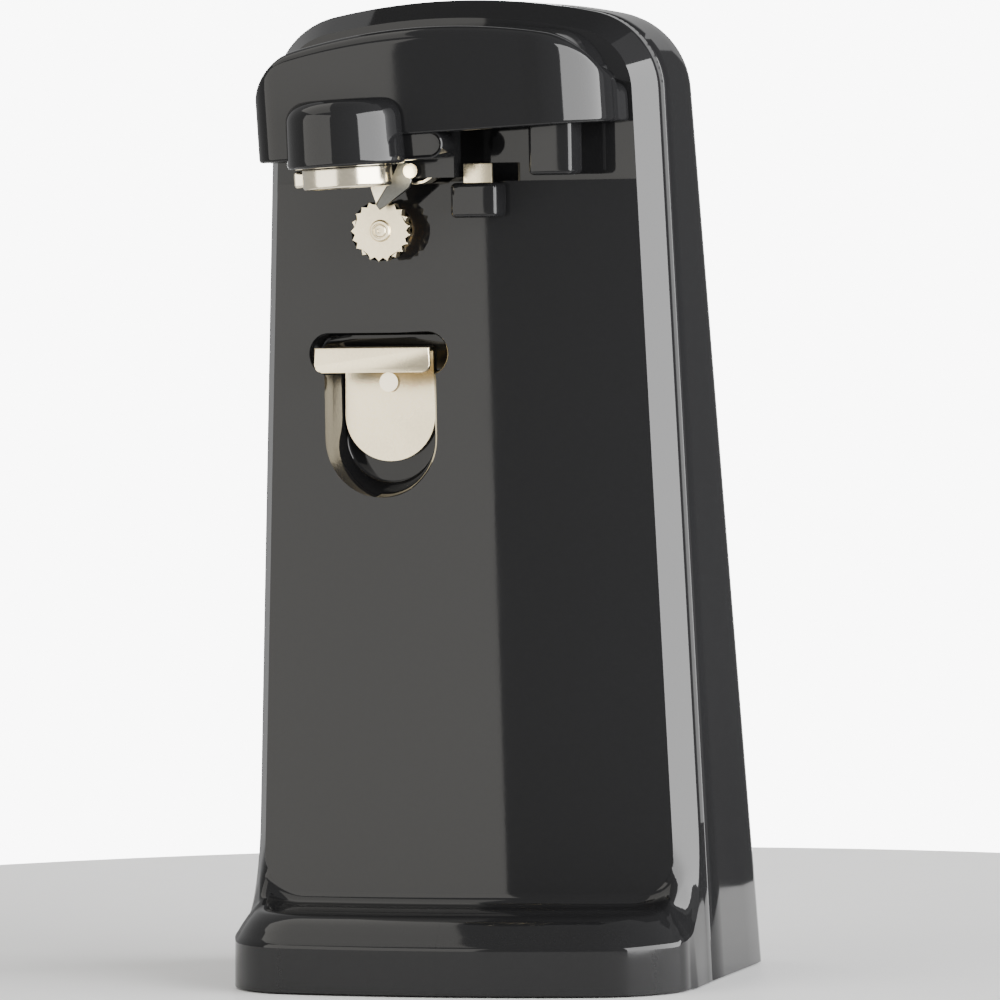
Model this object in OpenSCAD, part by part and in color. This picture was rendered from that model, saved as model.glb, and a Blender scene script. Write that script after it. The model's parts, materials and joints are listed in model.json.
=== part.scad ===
// Electric can opener: free-standing column with a press lever, a cutter, a lid magnet,
// a bottle opener in the front, and a shaded-pole motor with a three-stage gear train inside.
// X right, front towards -Y, Z up, origin at the middle of the rest plane. Sizes in mm.

/* [Overall size] */
// height of the column
height = 245; // [200:1:300]
// width of the column where it meets the table
column_width = 117.3; // [96:0.1:142]
// width of the column just under its top arc
top_width = 98.2; // [80:0.1:120]
// depth behind the seam at the table
rear_depth = 59.5; // [48:0.5:72]
// depth behind the seam at the top
rear_top_depth = 34.4; // [28:0.1:42]
// reach of the foot ahead of the seam
foot_reach = 44.1; // [36:0.1:53]

/* [Column shell] */
// wall thickness of the mouldings
wall = 2.4; // [1.8:0.1:3.2]
// rise of the top arc from its ends to its middle
top_rise = 7.6; // [4:0.1:12]
// radius of the two upper corners
corner_radius = 20.3; // [12:0.1:30]
// radius of the rear edges
rear_radius = 10; // [6:0.5:16]
// flat strip between the seam and the front bevel
side_strip = 4.4; // [2:0.1:8]
// bevel width seen from the front
bevel_width = 4.6; // [3:0.1:7]
// bevel depth from front to back
bevel_depth = 9.9; // [6:0.1:14]
// how far the middle of the front face stands out
face_bulge = 5.6; // [2:0.1:8]

/* [Foot] */
// height of the upright skirt
skirt_height = 11.9; // [8:0.1:16]
// height where the sloping apron ends
apron_height = 19; // [14:0.1:24]
// height of the lower edge of the front face
face_foot = 23.5; // [20:0.1:30]
// how far the rubber feet stand below the skirt
foot_proud = 0.5; // [0.3:0.1:1.5]

/* [Lever] */
// height of the lever's front face at its right end
lever_height = 26; // [20:0.1:34]
// how far the lever stands out from its seat
lever_reach = 29.2; // [22:0.1:36]
// radius of the lever's left front corner
lever_corner = 10; // [5:0.5:13]
// radius of the lever's right front corner
lever_right_corner = 17; // [8:0.5:18]
// slope of the lever at rest, right end up
lever_tilt = 2.9; // [0:0.1:6]
// radius of the magnet dome on the lever
dome_radius = 14.5; // [12:0.1:18]
// height of the magnet dome
dome_height = 16.6; // [14:0.1:20]

/* [Cutter and drive wheel] */
// drive wheel radius over the teeth
wheel_radius = 7.6; // [6:0.1:9]
// drive wheel teeth
wheel_teeth = 21; // [16:1:30]
// drive wheel thickness
wheel_thick = 3; // [2:0.1:4]
// drop from the top of the column to the drive wheel
wheel_drop = 56.8; // [50:0.1:68]
// blade thickness
blade_thick = 1.4; // [1:0.1:2]
// radius of the lid magnet's cup
magnet_radius = 11; // [9:0.1:12]
// height of the lid magnet's cup
magnet_height = 6; // [4:0.1:8]

/* [Bottle opener] */
// width of the rounded pocket
pocket_width = 29.5; // [24:0.1:34]
// drop from the top of the column to the top of the pocket
pocket_drop = 82.2; // [78:0.1:96]
// height of the pocket
pocket_height = 40.8; // [32:0.1:48]
// depth of the pocket behind the front face
pocket_depth = 12; // [8:0.1:13]

/* [Motor and gears] */
// rotor radius
rotor_radius = 12.9; // [10:0.1:15]
// thickness of the stator stack
stator_thick = 16; // [10:0.5:20]
// radius of the motor shaft
shaft_radius = 2.4; // [1.6:0.1:3]
// radius of the studs the gears turn on
stud_radius = 2.5; // [1.6:0.1:3]
// radius of the shaft that carries the drive wheel
output_radius = 4; // [3:0.1:5]
// teeth of the motor pinion
pinion_teeth = 10; // [10:1:14]
// teeth of the first gear
first_teeth = 56; // [48:1:64]
// teeth of the second and third pinions
small_teeth = 12; // [12:1:16]
// teeth of the second gear
second_teeth = 50; // [42:1:56]
// teeth of the gear on the drive wheel's shaft
output_teeth = 48; // [40:1:52]

/* [Clearances] */
// radial running clearance of shafts and pins
running = 0.05; // [0.02:0.01:0.1]
// gap between pieces that move past each other
moving_gap = 0.5; // [0.3:0.1:1]
// gap between fitted pieces that don't move
fit_gap = 0.1; // [0.05:0.05:0.3]

/* [Hidden] */
$fn = 48;
cut = 0.5;                                   // how far cutting shapes run past a face
// column outline in the XZ plane
half0 = column_width / 2;
taper = (column_width - top_width) / 2 / height;
wtop = top_width / 2;
arcR = (wtop * wtop + top_rise * top_rise) / (2 * top_rise);
slant = sqrt(1 + taper * taper);
edgeN = [1 / slant, taper / slant];
edgeT = [-taper / slant, 1 / slant];
arcC = [0, height - arcR];
cornerB = (half0 / slant - corner_radius) * edgeN - arcC;
cornerS = -(cornerB * edgeT) + sqrt(pow(cornerB * edgeT, 2)
    - (cornerB * cornerB - pow(arcR - corner_radius, 2)));
cornerC = (half0 / slant - corner_radius) * edgeN + cornerS * edgeT;
angSide = atan2(edgeN[1], edgeN[0]);
angTop = atan2(cornerC[1] - arcC[1], cornerC[0]);
function half_at(z) = half0 - taper * z;
// depths, all measured from the seam plane
bevelY = -(side_strip + bevel_depth);
faceY = bevelY - face_bulge;
rearSlope = (rear_depth - rear_top_depth) / height;
rearAngle = atan(rearSlope);
function rear_at(z) = rear_depth - rearSlope * z;
faceHalf = half_at(height * 0.48) - bevel_width;
faceR = (faceHalf * faceHalf + face_bulge * face_bulge) / (2 * face_bulge);
function face_at(x) = faceY + faceR - sqrt(faceR * faceR - x * x);
// drive line
wheelZ = height - wheel_drop;
wheelX = -0.133 * column_width;
wheelFront = faceY - 8.2;
ledgeTop = height - 45;
// lever
leverBack = bevelY - moving_gap;
leverFront = bevelY - lever_reach;
leverHalf = half_at(wheelZ + 18) - bevel_width - 0.6;
leverBottom = wheelZ + 22;
leverTop = leverBottom + lever_height;
pivotX = -(leverHalf - 9);
pivotZ = wheelZ + 27.8;
domeX = wheelX - 3.8;
domeY = leverFront - 1.5;
domeBottom = wheelZ + 15;
domeEdge = 5.5;
magnetTop = domeBottom + 0.9;
magnetPivot = magnetTop + 3;
deckZ = leverBottom + 4;
// pocket of the bottle opener
openX = -0.169 * column_width;
pocketTop = height - pocket_drop;
pocketFloor = face_at(openX) + pocket_depth;
barHalf = pocket_width / 2 + 3.6;
barHeight = 10.4;
plateHalf = pocket_width / 2 - 3.1;
// layers behind the face, front to back
chassisY = pocketFloor + 3.5;
chassisThick = 1.5;
gearA = chassisY + chassisThick + 0.8;       // output gear and second pinion
gearB = gearA + 5.7;                         // second gear and first pinion
gearC = gearB + 4.8;                         // first gear and motor pinion
bracketY = gearC + 5;
statorY = bracketY + 4;
backBracketY = statorY + stator_thick + 2;
// gear train, modules and centres
modA = 1;
modB = 0.8;
modC = 0.6;
press = 25;
aOut = modA * (small_teeth + output_teeth) / 2;
aMid = modB * (small_teeth + second_teeth) / 2;
aIn = modC * (pinion_teeth + first_teeth) / 2;
dirOut = 130;                                // direction from second gear to output
dirMid = 50;                                 // direction from first gear to second
dirIn = 130;                                 // direction from motor to first gear
outC = [wheelX, wheelZ];
secondC = outC - aOut * [cos(dirOut), sin(dirOut)];
firstC = secondC - aMid * [cos(dirMid), sin(dirMid)];
motorC = firstC - aIn * [cos(dirIn), sin(dirIn)];
function mesh(phi, thetaA, nA, nB) = phi + 180 + 180 / nB + (phi - thetaA) * nA / nB;
thetaFirst = mesh(dirIn, 0, pinion_teeth, first_teeth);
thetaSecond = mesh(dirMid, thetaFirst, small_teeth, second_teeth);
thetaOut = mesh(dirOut, thetaSecond, small_teeth, output_teeth);
// stator
bore = rotor_radius + 0.4;
statorHalf = min(30, 0.256 * column_width);
coilHalf = statorHalf - 15;
motorScrewX = statorHalf - 7;
statorTop = motorC[1] + bore + 8.5;
limbBottom = motorC[1] - 50;
limbTop = limbBottom + 12;
windowTop = motorC[1] - bore - 7;
motorScrewZ = motorC[1] - 14;
// switch
buttonX = pivotX + min(50, 0.4263 * column_width);
buttonZ = pivotZ + 4;
buttonR = 2.5;
// screws
screwR = 1.5;
bossR = 4;
postX = 0.36 * column_width;
postLow = 40;
postHigh = height - 95;
chassisHalf = 0.31 * column_width;
chassisLow = motorC[1] - 56;
chassisTop = wheelZ + 31;
inletZ = 24;

// shared shapes

// a flat XZ shape, given as x and z, made solid from y0 to y1
module along_y(y0, y1) translate([0, y1, 0]) rotate([90, 0, 0]) linear_extrude(y1 - y0) children();

// a round bar along Y
module rod(x, z, r, y0, y1, fn = 32)
    translate([x, y1, z]) rotate([90, 0, 0]) cylinder(h = y1 - y0, r = r, $fn = fn);

// a box given by its two corners
module box(a, b) translate(a) cube(b - a);

// column outline moved inwards by d, cut off at height z0
module outline(d, z0 = 0) {
    right = concat([[half_at(z0) - d * slant, z0]],
        [for (i = [0:9]) let (a = angSide + (angTop - angSide) * i / 9)
            cornerC + (corner_radius - d) * [cos(a), sin(a)]],
        [for (i = [1:6]) let (a = angTop + (90 - angTop) * i / 6)
            arcC + (arcR - d) * [cos(a), sin(a)]]);
    n = len(right);
    polygon(concat(right, [for (i = [1:n - 1]) [-right[n - 1 - i][0], right[n - 1 - i][1]]]));
}

// plan of the foot: half width h, front at y = f, front arc rise s, corner radius r, back at y = b
function plan_half(h, f, s, r, b) = let (R = (h * h + s * s) / (2 * s), cx = h - r,
        cy = f + R - sqrt((R - r) * (R - r) - cx * cx), a1 = atan2(cy - f - R, cx))
    concat([for (i = [1:5]) let (a = -90 + (a1 + 90) * i / 5) [R * cos(a), f + R + R * sin(a)]],
        [for (i = [1:8]) let (a = a1 - a1 * i / 8) [cx + r * cos(a), cy + r * sin(a)]], [[h, b]]);
module plan(h, f, s, r, b) {
    p = plan_half(h, f, s, r, b);
    n = len(p);
    polygon(concat([[0, f]], p, [for (i = [0:n - 1]) [-p[n - 1 - i][0], p[n - 1 - i][1]]]));
}

// solid behind the seam, moved inwards by d
module rear_solid(d, z0) intersection() {
    along_y(-cut, rear_depth + 5) outline(d, z0);
    rear_profile(d, z0);
    rear_corner(d);
    mirror([1, 0, 0]) rear_corner(d);
}
// side view with a rounded upper rear edge
module rear_profile(d, z0) {
    r = rear_radius + 4 - d;
    top = height - d;
    a = 90 - rearAngle;
    cz = top - r;
    cy = rear_at(cz) - d - r / cos(rearAngle);
    translate([-column_width, 0, 0]) rotate([90, 0, 90]) linear_extrude(2 * column_width)
        polygon(concat([[-cut, z0], [rear_at(z0) - d, z0]],
            [for (i = [0:8]) let (b = 90 - a + (90 - (90 - a)) * i / 8)
                [cy + r * cos(b), cz + r * sin(b)]], [[-cut, top]]));
}
// everything left of one rounded rear edge that leans with the side and the back
module rear_corner(d) translate([half0 - d, rear_depth - d, 0])
    rotate([rearAngle, -atan(taper), 0]) {
        r = rear_radius - d / 2;
        translate([-r, -r, -30]) cylinder(h = height + 60, r = r);
        translate([-3 * column_width, -3 * column_width, -30])
            cube([3 * column_width - r, 3 * column_width, height + 60]);
        translate([-3 * column_width, -3 * column_width, -30])
            cube([3 * column_width, 3 * column_width - r, height + 60]);
    }

// involute gear outline with n teeth of module m, one tooth centred on angle t
function inv_point(rb, a) = rb * sqrt(1 + pow(a * PI / 180, 2));
module gear_shape(n, m, t) {
    rp = n * m / 2;
    rb = rp * cos(press);
    ra = rp + 0.88 * m;
    rr = rp - 1.12 * m;
    slack = 0.03;
    base = 90 / n - slack / rp * 180 / PI + (tan(press) * 180 / PI - press);
    u1 = sqrt(pow(ra / rb, 2) - 1) * 180 / PI;
    ub = rr > rb ? sqrt(pow(rr / rb, 2) - 1) * 180 / PI : 0;
    side = [for (i = [0:4]) let (u = ub + (u1 - ub) * i / 4)
        [inv_point(rb, u), base - (u - atan(u * PI / 180))]];
    foot = rr < rb ? [[rr, side[0][1]]] : [];
    tooth = concat(foot, side);
    k = len(tooth);
    polygon([for (j = [0:n - 1]) for (i = [0:2 * k - 1])
        let (p = i < k ? tooth[i] : tooth[2 * k - 1 - i],
             a = t + 360 * j / n + (i < k ? -p[1] : p[1])) p[0] * [cos(a), sin(a)]]);
}
module gear(c, n, m, t, y0, y1) translate([c[0], 0, c[1]]) along_y(y0, y1) gear_shape(n, m, t);

// turns a piece from the lever's own level position to its place at rest
module lever_place() translate([pivotX, 0, pivotZ]) rotate([0, -lever_tilt, 0])
    translate([-pivotX, 0, -pivotZ]) children();

// rounded slot shape in XZ: half width h, lower edge z0, upper edge z1, lower corner radius r
module slot_shape(x, h, z0, z1, r) {
    translate([x - h, z0 + r]) square([2 * h, z1 - z0 - r]);
    translate([x - h + r, z0]) square([2 * h - 2 * r, r + 0.01]);
    for (s = [-1, 1]) translate([x + s * (h - r), z0 + r]) circle(r = r);
}

// pan-head screw along Y with its head towards s
module screw_y(x, z, r, y0, y1, s) {
    rod(x, z, r, y0, y1, 20);
    if (s > 0) difference() {
        rod(x, z, 2 * r, y1, y1 + 1.6, 24);
        box([x - 1.5 * r, y1 + 0.9, z - 0.3], [x + 1.5 * r, y1 + 2, z + 0.3]);
    }
    else difference() {
        rod(x, z, 2 * r, y0 - 1.6, y0, 24);
        box([x - 1.5 * r, y0 - 2, z - 0.3], [x + 1.5 * r, y0 - 0.9, z + 0.3]);
    }
}

// housing

module foot_front(d) {
    hull() {
        translate([0, 0, foot_proud]) linear_extrude(0.01)
            plan(half0 + 0.6 - d, -foot_reach + d, 7.8, 23.6 - d, 0);
        translate([0, 0, skirt_height - d]) linear_extrude(0.01)
            plan(half0 + 0.1 - d, -foot_reach + 0.3 + d, 7.8, 23.6 - d, 0);
    }
    hull() {
        translate([0, 0, skirt_height - d]) linear_extrude(0.01)
            plan(half0 + 0.1 - d, -foot_reach + 0.3 + d, 7.8, 23.6 - d, 0);
        translate([0, 0, apron_height - d]) linear_extrude(0.01)
            plan(half_at(apron_height) - 1.2 - d, bevelY - 10 + d, 8, 16, 0);
    }
}
// outline of the pocket's cross bar, grown by g
module bar_shape(g) {
    r = barHeight / 2 + g;
    translate([openX, pocketTop - barHeight / 2]) polygon(concat(
        [for (i = [0:8]) let (a = -90 + 22.5 * i) [barHalf - 5.2 + r * cos(a), r * sin(a)]],
        [for (i = [0:8]) let (a = 90 + 22.5 * i) [-barHalf + 5.2 + r * cos(a), r * sin(a)]]));
}
module pocket(grow) {
    along_y(faceY - 5, pocketFloor + grow) bar_shape(grow);
    // dish that narrows towards the plate
    translate([openX, 0, pocketTop - pocket_height + pocket_width / 2]) {
        translate([0, pocketFloor + grow, 0]) rotate([90, 0, 0])
            cylinder(h = pocket_depth + 4, r1 = plateHalf + grow + 0.3,
                r2 = pocket_width / 2 + 0.8 + grow, $fn = 48);
        along_y(faceY - 5, pocketFloor + grow) translate([-plateHalf - grow, 0])
            square([2 * (plateHalf + grow), pocket_height - pocket_width / 2 - 2]);
    }
}
module boss_y(x, z, r, y0, y1) rod(x, z, r, y0, y1, 24);
module front_housing() color([0.09, 0.09, 0.1]) difference() {
    union() {
        difference() {
            union() {
                hull() {
                    along_y(-side_strip, 0) outline(0, foot_proud);
                    along_y(bevelY, bevelY + 0.01) outline(bevel_width, foot_proud);
                }
                intersection() {
                    along_y(faceY - 1, bevelY + 1) outline(bevel_width + 0.3, face_foot);
                    translate([0, faceY + faceR, face_foot])
                        cylinder(h = ledgeTop - face_foot, r = faceR, $fn = 240);
                }
                foot_front(0);
            }
            // inside of the shell
            along_y(-side_strip, cut) outline(wall, 6);
            along_y(bevelY + wall, cut) outline(bevel_width + wall * 0.7, 6);
            intersection() {
                along_y(faceY, bevelY + wall + cut) outline(bevel_width + wall, face_foot + wall);
                translate([0, faceY + faceR, face_foot + wall])
                    cylinder(h = ledgeTop - face_foot - 2 * wall, r = faceR - wall, $fn = 240);
            }
            translate([0, 0, -wall]) foot_cavity();
        }
        // pocket liner, bosses and the bearing boss
        intersection() {
            pocket(1.6);
            along_y(faceY + 1, 0) outline(bevel_width);
        }
        rod(wheelX, wheelZ, 9, face_at(wheelX) - 1.6, chassisY - 0.1);
        rod(pivotX, pivotZ, 7, bevelY + 1, bevelY + 7);
        for (s = [-1, 1]) for (z = [postLow, postHigh])
            boss_y(s * postX, z, bossR, bevelY + 1, -1);
        for (s = [-1, 1]) {
            boss_y(s * (chassisHalf - 6), chassisLow + 6, bossR, face_at(chassisHalf - 6) + 1, chassisY);
            boss_y(s * (chassisHalf - 6), chassisTop - 6, bossR, bevelY + 1, chassisY);
        }
    }
    pocket(0);
    rod(openX, pocketTop - 12.5, 1.6 + fit_gap, pocketFloor - 1, pocketFloor + 3);
    rod(wheelX, wheelZ, output_radius + 2 + fit_gap, faceY - 5, 2);
    rod(pivotX, pivotZ, 3 + fit_gap, bevelY - 1, bevelY + 8);
    rod(pivotX, pivotZ, 4.4, bevelY + 5, bevelY + 8);
    rod(buttonX, buttonZ, buttonR + running, bevelY - 1, bevelY + wall + 1);
    rod(canX + 4, canZ + 3, 1.6 + fit_gap, faceY - 2, faceY + 6);
    for (s = [-1, 1]) for (z = [postLow, postHigh]) rod(s * postX, z, screwR + fit_gap, -9, 0);
    for (s = [-1, 1]) for (z = [chassisLow + 6, chassisTop - 6])
        rod(s * (chassisHalf - 6), z, screwR + fit_gap, chassisY - 6, chassisY + 1);
}
// room inside the foot, above the base plate
module foot_cavity() {
    hull() {
        translate([0, 0, 0]) linear_extrude(0.01)
            plan(half0 + 0.6 - wall, -foot_reach + wall, 7.8, 23.6 - wall, cut);
        translate([0, 0, skirt_height]) linear_extrude(0.01)
            plan(half0 + 0.1 - wall, -foot_reach + 0.3 + wall, 7.8, 23.6 - wall, cut);
    }
    hull() {
        translate([0, 0, skirt_height]) linear_extrude(0.01)
            plan(half0 + 0.1 - wall, -foot_reach + 0.3 + wall, 7.8, 23.6 - wall, cut);
        translate([0, 0, apron_height]) linear_extrude(0.01)
            plan(half_at(apron_height) - 1.2 - wall, bevelY - 10 + wall, 8, 14, cut);
    }
    box([-half0 + 12, bevelY + wall, 6], [half0 - 12, cut, face_foot + wall]);
}

module rear_housing() color([0.1, 0.1, 0.11]) difference() {
    union() {
        difference() {
            intersection() {
                rear_solid(0, foot_proud);
                box([-200, 0, 0], [200, 200, height + 10]);
            }
            rear_solid(wall, -1);
        }
        // screw pillars
        intersection() {
            for (s = [-1, 1]) for (z = [postLow, postHigh])
                boss_y(s * postX, z, bossR, -0.9, rear_at(z) - 1);
            rear_solid(1, 3);
        }
    }
    for (s = [-1, 1]) for (z = [postLow, postHigh]) {
        rod(s * postX, z, screwR + fit_gap, -2, rear_at(z) + 5);
        rod(s * postX, z, 2 * screwR + 0.3, rear_at(z) - 14, rear_at(z) + 5);
    }
    // vents over the motor
    for (i = [0:5]) box([-24, rear_at(motorC[1]) - 12, motorC[1] - 22 + 8 * i],
        [24, rear_at(motorC[1]) + 12, motorC[1] - 19 + 8 * i]);
    rod(0, inletZ, 5 + fit_gap, rear_at(inletZ) - 8, rear_at(inletZ) + 5);
}

plateLow = foot_proud + 0.7;
module base_plate() color([0.12, 0.12, 0.12]) difference() {
    union() {
        translate([0, 0, plateLow]) linear_extrude(2)
            plan(half0 - wall - 0.4, -foot_reach + wall + 0.5, 7.8, 20, 0.01);
        intersection() {
            rear_solid(wall + 0.4, plateLow);
            box([-200, 0, 0], [200, 200, plateLow + 2]);
        }
        for (p = basePosts) translate([p[0], p[1], plateLow]) cylinder(h = 8, r = 3.6, $fn = 24);
    }
    for (p = footSpots) translate([p[0], p[1], -1]) cylinder(h = plateLow + 2.2, r = 6.1);
    for (p = basePosts) translate([p[0], p[1], -1]) {
        cylinder(h = 12, r = screwR + fit_gap, $fn = 20);
        cylinder(h = plateLow + 3, r = 2 * screwR + 0.3, $fn = 24);
    }
}
footSpots = [[-half0 + 17, -foot_reach + 20], [half0 - 17, -foot_reach + 20],
    [-half0 + 17, rear_depth - 16], [half0 - 17, rear_depth - 16]];
basePosts = [[-half0 + 12, 14], [half0 - 12, 14]];
module feet() color([0.05, 0.05, 0.05]) for (p = footSpots) translate([p[0], p[1], 0]) {
    cylinder(h = plateLow + 1.2, r = 6);
}
module base_screws() color([0.7, 0.7, 0.72]) for (p = basePosts)
    translate([p[0], p[1], plateLow + 0.4]) {
        cylinder(h = 1.6, r = 2 * screwR, $fn = 24);
        cylinder(h = 10, r = screwR, $fn = 20);
    }
module housing_screws() color([0.7, 0.7, 0.72]) for (s = [-1, 1]) for (z = [postLow, postHigh])
    screw_y(s * postX, z, screwR, -6, rear_at(z) - 14, 1);

module cord_gland() color([0.05, 0.05, 0.05]) difference() {
    union() {
        rod(0, inletZ, 5, rear_at(inletZ) - wall - 2.2, rear_at(inletZ) + 1);
        rod(0, inletZ, 6.6, rear_at(inletZ) + 1, rear_at(inletZ) + 2.4);
        rod(0, inletZ, 6.6, rear_at(inletZ) - wall - 2.6, rear_at(inletZ) - wall - 1.4);
    }
    rod(0, inletZ, 3.2, 0, 100);
}

// chassis and gear train

module chassis_plate() color([0.7, 0.71, 0.72]) difference() {
    along_y(chassisY, chassisY + chassisThick)
        translate([-chassisHalf, chassisLow]) square([2 * chassisHalf, chassisTop - chassisLow]);
    rod(wheelX, wheelZ, output_radius + 2 + fit_gap, -40, 40);
    for (c = [secondC, firstC]) rod(c[0], c[1], stud_radius + fit_gap, -40, 40);
    rod(motorC[0], motorC[1], 5, -40, 40);
    for (s = [-1, 1]) for (z = [chassisLow + 6, chassisTop - 6])
        rod(s * (chassisHalf - 6), z, screwR + fit_gap, -40, 40);
    for (s = [-1, 1]) rod(motorC[0] + s * motorScrewX, motorScrewZ, screwR + fit_gap, -40, 40);
}
module chassis_screws() color([0.75, 0.75, 0.76])
    for (s = [-1, 1]) for (z = [chassisLow + 6, chassisTop - 6])
        screw_y(s * (chassisHalf - 6), z, screwR, chassisY - 5.5, chassisY + chassisThick, 1);

module gear_studs() color([0.75, 0.75, 0.76]) {
    rod(secondC[0], secondC[1], stud_radius, chassisY - 0.2, gearB + 6.8);
    rod(firstC[0], firstC[1], stud_radius, chassisY - 0.2, gearC + 4.4);
}
module stud_clips() color([0.4, 0.4, 0.42]) {
    difference() {
        rod(secondC[0], secondC[1], 4.4, gearB + 4.9, gearB + 5.6, 24);
        rod(secondC[0], secondC[1], stud_radius + 0.02, gearB, gearB + 9);
    }
    difference() {
        rod(firstC[0], firstC[1], 4.4, gearC + 3.5, gearC + 4.1, 24);
        rod(firstC[0], firstC[1], stud_radius + 0.02, gearC, gearC + 9);
    }
}

module output_bushing() color([0.75, 0.6, 0.35]) difference() {
    rod(wheelX, wheelZ, output_radius + 2, face_at(wheelX) - 1.4, chassisY + chassisThick);
    rod(wheelX, wheelZ, output_radius + running, -60, 60);
}
module output_shaft() color([0.85, 0.83, 0.78]) difference() {
    union() {
        rod(wheelX, wheelZ, output_radius, wheelFront + wheel_thick + 0.02, gearA + 5);
        rod(wheelX, wheelZ, 2.8, wheelFront - 1.2, wheelFront + wheel_thick + 0.1);
    }
    difference() {
        rod(wheelX, wheelZ, 2.1, wheelFront - 1.6, wheelFront - 0.8);
        rod(wheelX, wheelZ, 1.6, wheelFront - 2, wheelFront);
    }
    rod(wheelX, wheelZ, 0.5, wheelFront - 2, wheelFront - 0.4, 12);
}
module drive_wheel() color([0.88, 0.86, 0.8]) difference() {
    translate([wheelX, 0, wheelZ]) along_y(wheelFront, wheelFront + wheel_thick)
        polygon([for (i = [0:4 * wheel_teeth - 1]) let (a = 90 * i / wheel_teeth,
            r = (i % 4 < 2) ? wheel_radius : wheel_radius * 0.87) r * [cos(a), sin(a)]]);
    rod(wheelX, wheelZ, 2.8 + 0.02, -60, 60);
}
module output_gear() color([0.78, 0.78, 0.8]) difference() {
    gear(outC, output_teeth, modA, thetaOut, gearA, gearA + 5);
    rod(wheelX, wheelZ, output_radius + 0.02, -60, 60);
    for (i = [0:4]) rod(wheelX + 14 * cos(72 * i), wheelZ + 14 * sin(72 * i), 4.6, -60, 60, 24);
}
module second_gear() color([0.85, 0.85, 0.8]) difference() {
    union() {
        gear(secondC, small_teeth, modA, thetaSecond, gearA, gearB + 0.2);
        gear(secondC, second_teeth, modB, thetaSecond, gearB, gearB + 4);
        rod(secondC[0], secondC[1], 4.4, gearB + 3.9, gearB + 4.6, 24);
    }
    rod(secondC[0], secondC[1], stud_radius + running, -60, 60);
}
module first_gear() color([0.9, 0.9, 0.86]) difference() {
    union() {
        gear(firstC, small_teeth, modB, thetaFirst, gearB, gearC + 0.2);
        gear(firstC, first_teeth, modC, thetaFirst, gearC, gearC + 3);
    }
    rod(firstC[0], firstC[1], stud_radius + running, -60, 60);
}

// motor

module stator() color([0.45, 0.45, 0.47]) difference() {
    along_y(statorY, statorY + stator_thick) translate([motorC[0], 0]) difference() {
        translate([-statorHalf, limbBottom]) square([2 * statorHalf, statorTop - limbBottom]);
        translate([0, motorC[1]]) circle(r = bore, $fn = 64);
        translate([-statorHalf + 11, limbTop]) square([2 * statorHalf - 22, windowTop - limbTop]);
    }
    for (s = [-1, 1]) rod(motorC[0] + s * motorScrewX, motorScrewZ, screwR + fit_gap, -60, 60);
}
module bobbin() color([0.8, 0.78, 0.7]) difference() {
    for (x = [-coilHalf - 2, coilHalf]) box([motorC[0] + x, statorY - 8, limbBottom - 8],
        [motorC[0] + x + 2, statorY + stator_thick + 8, limbTop + 8]);
    box([-90, statorY - fit_gap, limbBottom - fit_gap],
        [90, statorY + stator_thick + fit_gap, limbTop + fit_gap]);
}
module coil() color([0.72, 0.4, 0.2]) difference() {
    box([motorC[0] - coilHalf, statorY - 7, limbBottom - 7],
        [motorC[0] + coilHalf, statorY + stator_thick + 7, limbTop + 7]);
    box([-90, statorY - fit_gap, limbBottom - fit_gap],
        [90, statorY + stator_thick + fit_gap, limbTop + fit_gap]);
}
module bracket(y0) difference() {
    along_y(y0, y0 + 2) translate([motorC[0] - statorHalf + 2, motorScrewZ - 5])
        square([2 * statorHalf - 4, 28]);
    rod(motorC[0], motorC[1], 5 + 0.02, -60, 60);
    for (s = [-1, 1]) rod(motorC[0] + s * motorScrewX, motorScrewZ, screwR + fit_gap, -60, 60);
}
module front_bracket() color([0.7, 0.71, 0.72]) difference() {
    union() {
        bracket(bracketY);
        for (s = [-1, 1])
            rod(motorC[0] + s * motorScrewX, motorScrewZ, 3, chassisY + chassisThick, bracketY + 0.1);
        for (s = [-1, 1]) rod(motorC[0] + s * motorScrewX, motorScrewZ, 3, bracketY + 1.9, statorY);
    }
    for (s = [-1, 1]) rod(motorC[0] + s * motorScrewX, motorScrewZ, screwR + fit_gap, -60, 60);
}
module rear_bracket() color([0.7, 0.71, 0.72]) difference() {
    union() {
        bracket(backBracketY);
        for (s = [-1, 1])
            rod(motorC[0] + s * motorScrewX, motorScrewZ, 3, statorY + stator_thick, backBracketY + 0.1);
    }
    for (s = [-1, 1]) rod(motorC[0] + s * motorScrewX, motorScrewZ, screwR + fit_gap, -60, 60);
}
module motor_bearings() color([0.75, 0.6, 0.35]) for (y = [bracketY, backBracketY]) difference() {
    union() {
        rod(motorC[0], motorC[1], 5, y, y + 2);
        rod(motorC[0], motorC[1], 4, y - 0.8, y + 2.8);
    }
    rod(motorC[0], motorC[1], shaft_radius + running, -60, 60);
}
module motor_screws() color([0.75, 0.75, 0.76]) for (s = [-1, 1])
    screw_y(motorC[0] + s * motorScrewX, motorScrewZ, screwR, chassisY + 0.1, backBracketY + 2, 1);
module rotor_core() color([0.5, 0.5, 0.52]) difference() {
    union() {
        rod(motorC[0], motorC[1], rotor_radius, statorY + 0.4, statorY + stator_thick - 0.4, 64);
        rod(motorC[0], motorC[1], 5, statorY - 0.6, statorY + stator_thick + 0.6);
    }
    rod(motorC[0], motorC[1], shaft_radius + 0.02, -60, 60);
}
module motor_shaft() color([0.85, 0.85, 0.86]) {
    rod(motorC[0], motorC[1], shaft_radius, bracketY - 1, backBracketY + 3.4);
    rod(motorC[0], motorC[1], 1.2, gearC - 0.2, bracketY - 0.9, 24);
}
module motor_pinion() color([0.75, 0.6, 0.35]) difference() {
    gear(motorC, pinion_teeth, modC, 0, gearC - 0.2, gearC + 3.4);
    rod(motorC[0], motorC[1], 1.2 + 0.02, -60, 60, 24);
}

// switch

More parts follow.
